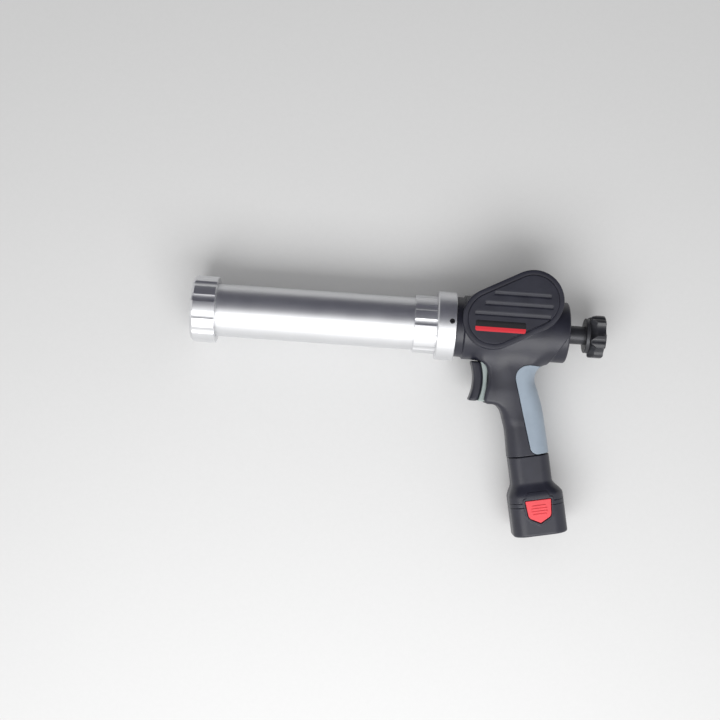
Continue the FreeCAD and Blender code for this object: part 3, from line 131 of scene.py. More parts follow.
class Value:
    """A shader socket that takes part in Python expressions."""

    def __init__(self, painter: "Painter", socket: bpy.types.NodeSocket) -> None:
        """Keep the socket and the painter that adds nodes beside it."""
        self.painter = painter
        self.socket = socket

    def math(self, operation: str, *operands: "Operand") -> "Value":
        """Add one Math node.

        Args:
            operation: the Math node's operation.
            operands: its operands in order.

        Returns:
            The node's result.
        """
        return self.painter.node("ShaderNodeMath", {"operation": operation}, dict(enumerate(operands)))

    def __add__(self, other: "Operand") -> "Value":
        """Sum."""
        return self.math("ADD", self, other)

    __radd__ = __add__

    def __sub__(self, other: "Operand") -> "Value":
        """Difference."""
        return self.math("SUBTRACT", self, other)

    def __rsub__(self, other: "Operand") -> "Value":
        """Difference from a number."""
        return self.math("SUBTRACT", other, self)

    def __mul__(self, other: "Operand") -> "Value":
        """Product."""
        return self.math("MULTIPLY", self, other)

    __rmul__ = __mul__

    def __truediv__(self, other: "Operand") -> "Value":
        """Quotient."""
        return self.math("DIVIDE", self, other)

    def __pow__(self, other: "Operand") -> "Value":
        """Power."""
        return self.math("POWER", self, other)

    def __lt__(self, other: "Operand") -> "Value":
        """One where this is less than the other, else zero."""
        return self.math("LESS_THAN", self, other)

    def __gt__(self, other: "Operand") -> "Value":
        """One where this is greater than the other, else zero."""
        return self.math("GREATER_THAN", self, other)

    def ease(self, low: float, high: float) -> "Value":
        """Smooth step from zero at one value to one at another."""
        settings = {"interpolation_type": "SMOOTHSTEP"}
        return self.painter.node("ShaderNodeMapRange", settings, {0: self, 1: low, 2: high})


Operand = Union[Value, float]
Colour = tuple[float, float, float]


def toned(colour: Colour, factor: float) -> Colour:
    """A colour with its channels multiplied by one factor."""
    return tuple(channel * factor for channel in colour)


class Painter:
    """Builds the node tree of one material."""

    def __init__(self, name: str) -> None:
        """Start a material with a Principled BSDF."""
        self.material = bpy.data.materials.new(name)
        self.material.use_nodes = True
        self.tree = self.material.node_tree
        self.shader = self.tree.nodes["Principled BSDF"]

    def node(self, kind: str, settings: Mapping[str, object], inputs: Mapping[Union[int, str], object],
             output: Union[int, str] = 0) -> Value:
        """Add any node.

        Args:
            kind: the node's type name.
            settings: attributes set before its sockets; "stops" fills a colour ramp.
            inputs: a value or a link for each named or numbered socket.
            output: the socket that is returned.

        Returns:
            The chosen output socket.
        """
        made = self.tree.nodes.new(kind)
        for key, setting in settings.items():
            if key == "stops":
                self._fill_ramp(made.color_ramp, setting)
            else:
                setattr(made, key, setting)
        for key, source in inputs.items():
            self.feed(made.inputs[key], source)
        return Value(self, made.outputs[output])

    def feed(self, socket: bpy.types.NodeSocket, source: object) -> None:
        """Link a Value to a socket or set a constant on it."""
        if isinstance(source, Value):
            self.tree.links.new(source.socket, socket)
        elif isinstance(source, tuple) and len(source) == 3 and socket.type == "RGBA":
            socket.default_value = (*source, 1.0)
        else:
            socket.default_value = source

    @staticmethod
    def _fill_ramp(ramp: bpy.types.ColorRamp, stops: Sequence[tuple[float, Colour]]) -> None:
        """Set a ramp's stops, which start with the two that it is made with."""
        while len(ramp.elements) < len(stops):
            ramp.elements.new(0.5)
        for element, (place, colour) in zip(ramp.elements, stops):
            element.position = place
            element.color = (*colour, 1.0)

    def set(self, **sockets: object) -> None:
        """Feed the shader's sockets, named with underscores for spaces."""
        for key, source in sockets.items():
            self.feed(self.shader.inputs[key.replace("_", " ").title().replace("Ior", "IOR")], source)

    def place(self) -> Value:
        """Object coordinates in metres."""
        return self.node("ShaderNodeTexCoord", {}, {}, "Object")

    def axes(self) -> tuple[Value, Value, Value]:
        """The three Object coordinates as numbers, in millimetres."""
        place = self.place()
        parts = [self.node("ShaderNodeSeparateXYZ", {}, {0: place}, axis) for axis in "XYZ"]
        return tuple(part * (1 / MM) for part in parts)

    def noise(self, grain: float, detail: float = 2.0, stretch: Colour = (1.0, 1.0, 1.0)) -> Value:
        """Noise from zero to one.

        Args:
            grain: size of its spots in millimetres.
            detail: octaves of finer noise.
            stretch: factors on the three coordinates; below one draws the spots out.

        Returns:
            The noise value.
        """
        scaled = self.node("ShaderNodeMapping", {"vector_type": "POINT"},
                           {"Vector": self.place(), "Scale": stretch})
        return self.node("ShaderNodeTexNoise", {},
                         {"Vector": scaled, "Scale": 1 / (grain * MM), "Detail": detail})

    def blend(self, share: Operand, first: object, second: object) -> Value:
        """Mix two colours by a share of the second."""
        return self.node("ShaderNodeMix", {"data_type": "RGBA"}, {0: share, 6: first, 7: second}, 2)

    def bump(self, height: Operand, depth: float, strength: float = 1.0) -> Value:
        """Normal of a relief.

        Args:
            height: relief from zero to one.
            depth: its real depth in millimetres.
            strength: share of the effect.

        Returns:
            The bent normal.
        """
        return self.node("ShaderNodeBump", {},
                         {"Height": height, "Distance": depth * MM, "Strength": strength})


class Finish(ABC):
    """A surface finish that makes one material the first time that it is asked for."""

    made: dict[str, bpy.types.Material] = {}

    @abstractmethod
    def paint(self, painter: Painter) -> None:
        """Feed the shader of a new material."""

    def material(self, name: str) -> bpy.types.Material:
        """Material of that name in this finish."""
        if name not in Finish.made:
            painter = Painter(name)
            self.paint(painter)
            Finish.made[name] = painter.material
        return Finish.made[name]


@dataclass(frozen=True)
class MouldedPlastic(Finish):
    """Matte moulding with a spark-eroded grain and faint clouding."""

    colour: Colour
    rough: float = 0.5
    grain: float = 0.4
    depth: float = 0.035
    clouding: float = 0.16
    cloud_size: float = 16.0
    cloud_edge: tuple[float, float] = (0.3, 0.7)
    cloud_share: float = 0.7
    cloud_rough: float = 0.08
    grain_rough: float = 0.12
    specular: float = 0.5
    detail: float = 3.0

    def paint(self, painter: Painter) -> None:
        """Grain bends the normal; clouding and grain vary colour and roughness."""
        grain = painter.noise(self.grain, self.detail)
        cloud = painter.noise(self.cloud_size, self.detail).ease(*self.cloud_edge)
        dull, pale = toned(self.colour, 1 - self.clouding), toned(self.colour, 1 + self.clouding)
        mixed = cloud * self.cloud_share + grain * (1 - self.cloud_share)
        least = self.rough - (self.cloud_rough + self.grain_rough) / 2
        painter.set(base_color=painter.blend(mixed, dull, pale),
                    roughness=cloud * self.cloud_rough + grain * self.grain_rough + least,
                    specular_ior_level=self.specular, normal=painter.bump(grain, self.depth))


@dataclass(frozen=True)
class TurnedMetal(Finish):
    """Metal with fine tool lines round the X axis and a soft satin sheen."""

    colour: Colour
    rough: float = 0.3
    metallic: float = 1.0
    line: float = 0.22
    depth: float = 0.006
    along: Colour = (1.0, 0.02, 0.02)
    blotch: float = 22.0
    dulling: float = 0.9
    line_share: float = 0.6
    line_rough: float = 0.16
    blotch_rough: float = 0.08

    def paint(self, painter: Painter) -> None:
        """Lines are noise drawn out round the axis; broad blotches vary the satin."""
        lines = painter.noise(self.line, stretch=self.along)
        blotch = painter.noise(self.blotch)
        mixed = lines * self.line_share + blotch * (1 - self.line_share)
        least = self.rough - (self.line_rough + self.blotch_rough) / 2
        painter.set(base_color=painter.blend(mixed, toned(self.colour, self.dulling), self.colour),
                    metallic=self.metallic,
                    roughness=lines * self.line_rough + blotch * self.blotch_rough + least,
                    normal=painter.bump(lines, self.depth))


@dataclass(frozen=True)
class SoftRubber(Finish):
    """Soft over-moulded rubber: even colour, broad sheen and a fine pebble."""

    colour: Colour
    rough: float = 0.62
    pebble: float = 0.55
    depth: float = 0.03
    bloom: float = 14.0
    bloom_detail: float = 3.0
    bloom_edge: tuple[float, float] = (0.35, 0.7)
    bloom_share: float = 0.6
    pebble_share: float = 0.25
    paling: float = 1.12
    lift: float = 0.01
    bloom_rough: float = 0.06
    pebble_rough: float = 0.12
    rough_drop: float = 0.08
    sheen: float = 0.15
    sheen_rough: float = 0.5

    def paint(self, painter: Painter) -> None:
        """Pebble bends the normal; a faint bloom pales the colour in patches."""
        pebble = painter.noise(self.pebble)
        bloom = painter.noise(self.bloom, self.bloom_detail).ease(*self.bloom_edge)
        pale = tuple(channel + self.lift for channel in toned(self.colour, self.paling))
        mixed = bloom * self.bloom_share + pebble * self.pebble_share
        rough = pebble * self.pebble_rough + bloom * self.bloom_rough + (self.rough - self.rough_drop)
        painter.set(base_color=painter.blend(mixed, self.colour, pale), roughness=rough,
                    sheen_weight=self.sheen, sheen_roughness=self.sheen_rough,
                    normal=painter.bump(pebble, self.depth))


@dataclass(frozen=True)
class PrintedLabel(Finish):
    """Plain printed film: a dark band over a coloured band, with no lettering."""

    dark: Colour
    band: Colour
    level: float
    blur: float = 0.15
    ink: float = 0.3
    ink_colour: Colour = (0.5, 0.5, 0.5)
    ink_share: float = 0.02
    ink_rough: float = 0.1
    rough: float = 0.4
    specular: float = 0.25
    depth: float = 0.004

    def paint(self, painter: Painter) -> None:
        """The band changes at a height along Y; fine ink grain varies the gloss."""
        _, height, _ = painter.axes()
        ink = painter.noise(self.ink)
        upper = height.ease(self.level - self.blur, self.level + self.blur)
        colour = painter.blend(upper, self.band, self.dark)
        painter.set(base_color=painter.blend(ink * self.ink_share, colour, self.ink_colour),
                    roughness=ink * self.ink_rough + self.rough,
                    specular_ior_level=self.specular, normal=painter.bump(ink, self.depth))


@dataclass(frozen=True)
class CircuitBoard(Finish):
    """Lacquered board with paler copper runs under the lacquer."""

    lacquer: Colour = (0.02, 0.14, 0.06)
    runs: Colour = (0.08, 0.30, 0.14)
    pitch: float = 2.5
    run_share: float = 0.06
    rough: float = 0.3
    run_gloss: float = 0.08
    depth: float = 0.03

    def paint(self, painter: Painter) -> None:
        """Runs are the narrow gaps of a brick pattern."""
        sockets = {"Vector": painter.place(), "Scale": 1 / (self.pitch * MM), "Mortar Size": self.run_share}
        runs = painter.node("ShaderNodeTexBrick", {}, sockets, "Fac")
        painter.set(base_color=painter.blend(runs, self.lacquer, self.runs),
                    roughness=self.rough - runs * self.run_gloss, normal=painter.bump(runs, self.depth))


@dataclass(frozen=True)
class Wardrobe:
    """Every finish of the tool, by its slot in the record."""

    satin_aluminium: Finish = TurnedMetal((0.80, 0.805, 0.82), rough=0.42, depth=0.004)
    black_plastic: Finish = MouldedPlastic((0.018, 0.0185, 0.030), rough=0.38)
    grip_rubber: Finish = SoftRubber((0.30, 0.36, 0.43))
    pale_inlay: Finish = MouldedPlastic((0.36, 0.42, 0.41), rough=0.45, clouding=0.06)
    black_anodised: Finish = TurnedMetal((0.045, 0.046, 0.052), rough=0.36, metallic=0.35)
    gloss_black: Finish = MouldedPlastic((0.030, 0.031, 0.037), rough=0.33, depth=0.012)
    plunger_plastic: Finish = MouldedPlastic((0.06, 0.06, 0.065))
    red_plastic: Finish = MouldedPlastic((0.84, 0.075, 0.09), rough=0.4, clouding=0.05, depth=0.02)
    black_screw: Finish = TurnedMetal((0.05, 0.05, 0.055), rough=0.38, metallic=0.8, along=(1.0, 1.0, 1.0))
    plain_steel: Finish = TurnedMetal((0.58, 0.58, 0.59), rough=0.34, along=(0.05, 0.05, 1.0))
    bush_brass: Finish = TurnedMetal((0.70, 0.52, 0.25), rough=0.36)
    switch_plastic: Finish = MouldedPlastic((0.09, 0.09, 0.10))
    board_green: Finish = CircuitBoard()
    cell_sleeve: Finish = MouldedPlastic((0.10, 0.27, 0.36), rough=0.3, depth=0.01)

    def dress(self, piece: bpy.types.Object, slot: str) -> None:
        """Give a piece the finish of a slot.

        Args:
            piece: object to dress.
            slot: name of the record's material slot.
        """
        material = getattr(self, slot).material(slot)
        piece.data.materials.clear()
        piece.data.materials.append(material)


WARDROBE = Wardrobe()


@dataclass
class Shell:
    """One surface: points in millimetres, with quads and triangles that index them."""

    points: Array
    quads: Array
    triangles: Array

    @classmethod
    def of_grid(cls, grid: Array, loop_rows: bool = False, loop_columns: bool = False) -> "Shell":
        """Join neighbours of a grid of points by quads and weld what coincides.

        Args:
            grid: points as an array of rows, columns and coordinates.
            loop_rows: the last row joins the first.
            loop_columns: the last column joins the first.

        Returns:
            The welded surface, whose faces turn from rows towards columns.
        """
        rows, columns = grid.shape[:2]
        number = np.arange(rows * columns).reshape(rows, columns)
        number = np.vstack([number, number[:1]]) if loop_rows else number
        number = np.hstack([number, number[:, :1]]) if loop_columns else number
        quads = np.stack([number[:-1, :-1], number[1:, :-1], number[1:, 1:], number[:-1, 1:]], axis=-1)
        return cls(grid.reshape(-1, 3), quads.reshape(-1, 4), np.empty((0, 3), int)).welded()

    def welded(self, grid: float = 1e-4) -> "Shell":
        """Merge points that coincide; a quad that loses one corner becomes a triangle.

        Args:
            grid: distance in millimetres within which points are one.

        Returns:
            The surface without doubles or empty faces.
        """
        places = np.round(self.points / grid).astype(np.int64)
        _, first, inverse = np.unique(places, axis=0, return_index=True, return_inverse=True)
        inverse = inverse.reshape(-1)
        quads, triangles = inverse[self.quads], inverse[self.triangles]
        same = quads == np.roll(quads, -1, axis=1)
        whole = quads[~same.any(axis=1)]
        pinched = quads[same.sum(axis=1) == 1]
        keep = ~(pinched == np.roll(pinched, -1, axis=1))
        corners = pinched[keep].reshape(-1, 3)
        return Shell(self.points[first], whole, np.vstack([triangles, corners]))

    def joined(self, *others: "Shell") -> "Shell":
        """This surface and others as one."""
        points, quads, triangles, count = [], [], [], 0
        for shell in (self, *others):
            points.append(shell.points)
            quads.append(shell.quads + count)
            triangles.append(shell.triangles + count)
            count += len(shell.points)
        return Shell(np.vstack(points), np.vstack(quads), np.vstack(triangles))

    def mirrored(self) -> "Shell":
        """The mirror image across the middle plane, faces still outwards."""
        return Shell(self.points * (1, 1, -1), self.quads[:, ::-1], self.triangles[:, ::-1])

    def moved(self, turn: Array, shift: Array) -> "Shell":
        """Turn about the origin by a 3 by 3 matrix, then shift."""
        return Shell(self.points @ turn.T + shift, self.quads, self.triangles)

    def outward(self) -> "Shell":
        """The same surface with its faces turned to enclose a positive volume.

        The volume is the sum over triangles of the triple product of their corners, over six.
        """
        corners = np.vstack([self.quads[:, :3], self.quads[:, [0, 2, 3]], self.triangles])
        a, b, c = (self.points[corners[:, index]] for index in range(3))
        if np.einsum("ij,ij->i", a, np.cross(b, c)).sum() > 0:
            return self
        return Shell(self.points, self.quads[:, ::-1], self.triangles[:, ::-1])

    def piece(self, name: str, body: str, slot: str, crease: float = 35.0, normals: Array | None = None
              ) -> bpy.types.Object:
        """Make the object, dress it and let it ride on a body.

        Args:
            name: the piece's name.
            body: CAD body that carries it.
            slot: material slot of its finish.
            crease: angle in degrees from which an edge stays sharp.
            normals: one normal for each point, in place of creases.

        Returns:
            The finished object.
        """
        mesh = bpy.data.meshes.new(name)
        mesh.from_pydata((self.points * MM).tolist(), [], self.quads.tolist() + self.triangles.tolist())
        mesh.polygons.foreach_set("use_smooth", np.ones(len(mesh.polygons), bool))
        if normals is None:
            mesh.set_sharp_from_angle(angle=math.radians(crease))
        else:
            mesh.normals_split_custom_set_from_vertices(normals.tolist())
        made = bpy.data.objects.new(name, mesh)
        bpy.context.scene.collection.objects.link(made)
        WARDROBE.dress(made, slot)
        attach(made, body)
        LOG.info("%s rides on %s with %d faces", name, body, len(mesh.polygons))
        return made


def rounded_line(corners: Sequence[tuple[float, float, float]], closed: bool = True, steps: int = 6) -> Array:
    """Line through corners, each rounded by an arc.

    An arc of radius r touches both sides of a corner at r / tan(half angle) from it; its points are the
    directions between the two side normals, spread evenly.

    Args:
        corners: first coordinate, second coordinate and arc radius of each corner; zero keeps it sharp.
        closed: the last corner joins the first.
        steps: spans of each arc.

    Returns:
        The line's points, one row each.
    """
    plan = np.array([corner[:2] for corner in corners], float)
    points = []
    for index, (_, _, radius) in enumerate(corners):
        here = plan[index]
        ends = not closed and index in (0, len(corners) - 1)
        if radius == 0 or ends:
            points.append(here[None])
            continue
        back = plan[index - 1] - here
        ahead = plan[(index + 1) % len(plan)] - here
        back, ahead = back / np.linalg.norm(back), ahead / np.linalg.norm(ahead)
        half = math.acos(np.clip(back @ ahead, -1, 1)) / 2
        middle = (back + ahead) / np.linalg.norm(back + ahead)
        centre = here + middle * radius / math.sin(half)
        start = here + back * radius / math.tan(half) - centre
        end = here + ahead * radius / math.tan(half) - centre
        turn = math.atan2(start[0] * end[1] - start[1] * end[0], start @ end)
        angle = math.atan2(start[1], start[0]) + np.linspace(0, turn, steps + 1)
        points.append(centre + radius * np.stack([np.cos(angle), np.sin(angle)], axis=1))
    return np.vstack(points)


def spread(line: Array, step: float) -> Array:
    """Add points to a closed line so that no span is longer than a step.

    Args:
        line: corners, one row each.
        step: longest span.

    Returns:
        The line with its long spans divided evenly.
    """
    ends = np.roll(line, -1, axis=0)
    counts = np.maximum(1, np.ceil(np.linalg.norm(ends - line, axis=1) / step)).astype(int)
    parts = [start + (end - start) * (np.arange(count) / count)[:, None]
             for start, end, count in zip(line, ends, counts)]
    return np.vstack(parts)


def turned(profile: Array, angles: Array, shape: Shape | None = None) -> Shell:
    """Surface turned about the X axis.

    A point is (x, r cos t, r sin t), with x and r from the profile, t from the angles, and all three open to
    change by a shape function before the point is placed.

    Args:
        profile: closed outline of (place along X, radius).
        angles: angles round the axis in radians, from +Y towards +Z.
        shape: gives new places, radii and angles for old ones.

    Returns:
        The closed surface.
    """
    along, angle = np.meshgrid(profile[:, 0], angles, indexing="ij")
    radius = np.broadcast_to(profile[:, 1:], along.shape)
    if shape is not None:
        along, radius, angle = shape(along, radius, angle)
    grid = np.stack([along, radius * np.cos(angle), radius * np.sin(angle)], axis=-1)
    return Shell.of_grid(grid, loop_rows=True, loop_columns=True).outward()


def full_turn(columns: int) -> Array:
    """Evenly spaced angles of one turn in radians."""
    return np.linspace(0, 2 * math.pi, columns, endpoint=False)


def angle_from(angle: Array, start: float, count: int) -> Array:
    """Signed angle to the nearest of evenly spaced places round the axis.

    Args:
        angle: angles in radians.
        start: angle of the first place in degrees.
        count: number of places.

    Returns:
        Angles from minus to plus half a pitch.
    """
    pitch = 2 * math.pi / count
    return (angle - math.radians(start) + pitch / 2) % pitch - pitch / 2


def soft_least(first: Array, second: Array, width: float) -> Array:
    """Smaller of two values with the crease rounded.

    With h = max(width - |a - b|, 0), it is min(a, b) - h * h / (4 * width).
    """
    meet = np.maximum(width - np.abs(first - second), 0)
    return np.minimum(first, second) - meet * meet / (4 * width)


def soft_most(first: Array, second: Array, width: float) -> Array:
    """Larger of two values with the crease rounded."""
    return -soft_least(-first, -second, width)


def ease(value: Array, low: float, high: float) -> Array:
    """Smooth step from zero at one value to one at another."""
    share = np.clip((value - low) / (high - low), 0, 1)
    return share * share * (3 - 2 * share)


def carried(outline: Array, spine: Array, steps: Sequence[tuple[float, float]], fill: int = 8,
            relief: Callable[[Array, Array], Array] | None = None) -> Shell:
    """Plate whose edge profile is carried along its outline.

    Row k of the grid is the outline drawn in along its inward normals by the k-th inset, at the k-th height.
    The last rows run from there to the spine in equal shares and close the top; the first row closes the
    underside on the spine.

    Args:
        outline: closed line in the XY plane, anticlockwise.
        spine: for each outline point, the point of the plate's middle line that it closes on.
        steps: inset and height of each profile row, from the underside to the top.
        fill: rows between the last inset and the spine.
        relief: height added to the top rows at places (x, y).

    Returns:
        The closed surface.
    """
    along = np.roll(outline, -1, axis=0) - np.roll(outline, 1, axis=0)
    along /= np.linalg.norm(along, axis=1, keepdims=True)
    inward = np.stack([-along[:, 1], along[:, 0]], axis=1)
    rows = [np.column_stack([spine, np.full(len(spine), steps[0][1])])]
    rows += [np.column_stack([outline + inward * inset, np.full(len(outline), height)])
             for inset, height in steps]
    rim = rows[-1]
    share = np.linspace(0, 1, fill + 1)[1:, None, None]
    middle = np.column_stack([spine, rim[:, 2]])
    top = rim + (middle - rim) * share
    if relief is not None:
        top[..., 2] += relief(top[..., 0], top[..., 1])
    grid = np.concatenate([np.stack(rows), top])
    return Shell.of_grid(grid, loop_columns=True).outward()


def surface_net(field: Field, lines: Sequence[Array], settle: int = 3) -> tuple[Shell, Array]:
    """Surface where a field of distances is zero, with its normals.

    Each lattice cell that the surface crosses gets one point, the mean of the crossings on its edges, and
    each crossed lattice edge joins the four cells round it by a quad. The points then settle on the surface
    by Newton steps p - f g / (g g), where g is the field's slope; the slope is also the normal.

    Args:
        field: signed distance at places (x, y, z), negative inside.
        lines: coordinates of the lattice planes along each axis.
        settle: Newton steps.

    Returns:
        The surface and one unit normal for each of its points.
    """
    values = field(*np.meshgrid(*lines, indexing="ij", sparse=True))
    inside = values < 0
    cells = tuple(len(line) - 1 for line in lines)
    total, count = np.zeros((*cells, 3)), np.zeros(cells)
    joins = []
    for axis in range(3):
        others = [other for other in range(3) if other != axis]
        low = tuple(slice(None, -1) if index == axis else slice(None) for index in range(3))
        high = tuple(slice(1, None) if index == axis else slice(None) for index in range(3))
        spot = np.argwhere(inside[low] != inside[high])
        ahead = spot + np.eye(3, dtype=int)[axis]
        start, end = values[tuple(spot.T)], values[tuple(ahead.T)]
        share = start / (start - end)
        cross = np.stack([lines[index][spot[:, index]] for index in range(3)], axis=1)
        cross[:, axis] += share * (lines[axis][ahead[:, axis]] - cross[:, axis])
        within = np.all((spot[:, others] > 0) & (spot[:, others] < np.array(cells)[others]), axis=1)
        spot, cross, rising = spot[within], cross[within], end[within] > start[within]
        ring = np.zeros((4, 3), int)
        ring[:, others] = [(-1, -1), (0, -1), (0, 0), (-1, 0)]
        round_edge = spot[:, None] + ring
        for corner in range(4):
            np.add.at(total, tuple(round_edge[:, corner].T), cross)
            np.add.at(count, tuple(round_edge[:, corner].T), 1)
        quad = np.ravel_multi_index(tuple(np.moveaxis(round_edge, -1, 0)), cells)
        joins.append(np.where((rising ^ (axis == 1))[:, None], quad, quad[:, ::-1]))
    used, faces = np.unique(np.vstack(joins), return_inverse=True)
    points = (total.reshape(-1, 3)[used] / count.reshape(-1, 1)[used])
    for _ in range(settle):
        slope = field_slope(field, points)
        step = field(*points.T)[:, None] * slope / np.maximum((slope * slope).sum(axis=1, keepdims=True), 0.2)
        points = points - np.clip(step, -0.5, 0.5)
    normals = field_slope(field, points)
    normals /= np.linalg.norm(normals, axis=1, keepdims=True)
    return Shell(points, faces.reshape(-1, 4), np.empty((0, 3), int)), normals


def field_slope(field: Field, points: Array, step: float = 0.05) -> Array:
    """Slope of a field at points, by differences over a step each way."""
    shifts = np.eye(3) * step
    rises = [field(*(points + shift).T) - field(*(points - shift).T) for shift in shifts]
    return np.stack(rises, axis=1) / (2 * step)


def even_lines(low: float, high: float, step: float) -> Array:
    """Lattice planes from one coordinate to another, no further apart than a step."""
    return np.linspace(low, high, math.ceil((high - low) / step) + 1)


class Drive(Enum):
    """Recess of a screw head, with its number of corners."""

    HEX = 6
    STAR = 5


@dataclass(frozen=True)
class Screw:
    """A screw whose head top is at the origin and faces up, with its shank below."""

    head: float
    height: float
    shank: float
    length: float
    drive: Drive = Drive.STAR
    edge: float = 0.4
    socket_share: float = 0.55
    depth_share: float = 0.6
    lip: float = 0.08
    star_share: float = 1 / 6
    floor_share: float = 0.9
    floor_edge: float = 0.1
    cone_share: float = 0.15
    bevel_share: float = 0.3
    columns: int = 60

    def shell(self) -> Shell:
        """Rings from the socket's floor over the head and down the shank.

        A ring of a hexagon socket has the radius a / cos(t - nearest flat); a star's is a (1 + cos(5 t) / 6).

        Returns:
            The closed surface.
        """
        angle = full_turn(self.columns)
        socket, corners = self.head * self.socket_share, self.drive.value
        if self.drive is Drive.HEX:
            recess = socket * math.cos(math.pi / corners) / np.cos(angle_from(angle, 180 / corners, corners))
        else:
            recess = socket * (1 + np.cos(corners * angle) * self.star_share)
        flat = np.ones_like(angle)
        floor, end = -self.height * self.depth_share, -self.height - self.length
        bevel = self.edge * self.bevel_share
        rings = [(recess * 0, floor - socket * self.cone_share), (recess * self.floor_share, floor),
                 (recess, floor + self.floor_edge), (recess, -self.lip), (recess + self.lip, 0.0),
                 (flat * (self.head - self.edge), 0.0), (flat * (self.head - bevel), -bevel),
                 (flat * self.head, -self.edge), (flat * self.head, -self.height),
                 (flat * self.shank, -self.height), (flat * self.shank, end), (flat * 0, end)]
        rows = [np.stack([radius * np.cos(angle), radius * np.sin(angle), np.full_like(angle, level)], axis=1)
                for radius, level in rings]
        return Shell.of_grid(np.stack(rows), loop_columns=True).outward()


def gathered(shells: Sequence[Shell]) -> Shell:
    """Several surfaces as one."""
    return shells[0].joined(*shells[1:])


def cutter_line(turn: Array, reach: float, cutter: Array | float) -> Array:
    """Radius that a round cutter leaves at an angle from its middle.

    A cutter of radius c at distance d from the axis leaves r = d cos t - sqrt(c c - d d sin t sin t).

    Args:
        turn: angle from the cutter's middle.
        reach: the cutter's distance from the axis.
        cutter: the cutter's radius.

    Returns:
        The radius of the cut.
    """
    across = np.minimum(np.abs(reach * np.sin(turn)), cutter)
    return reach * np.cos(turn) - np.sqrt(cutter ** 2 - across ** 2)


def turn_onto(direction: Sequence[float]) -> Array:
    """Matrix that turns +Z onto a direction."""
    return np.array(Vector((0, 0, 1)).rotation_difference(Vector(direction)).to_matrix())


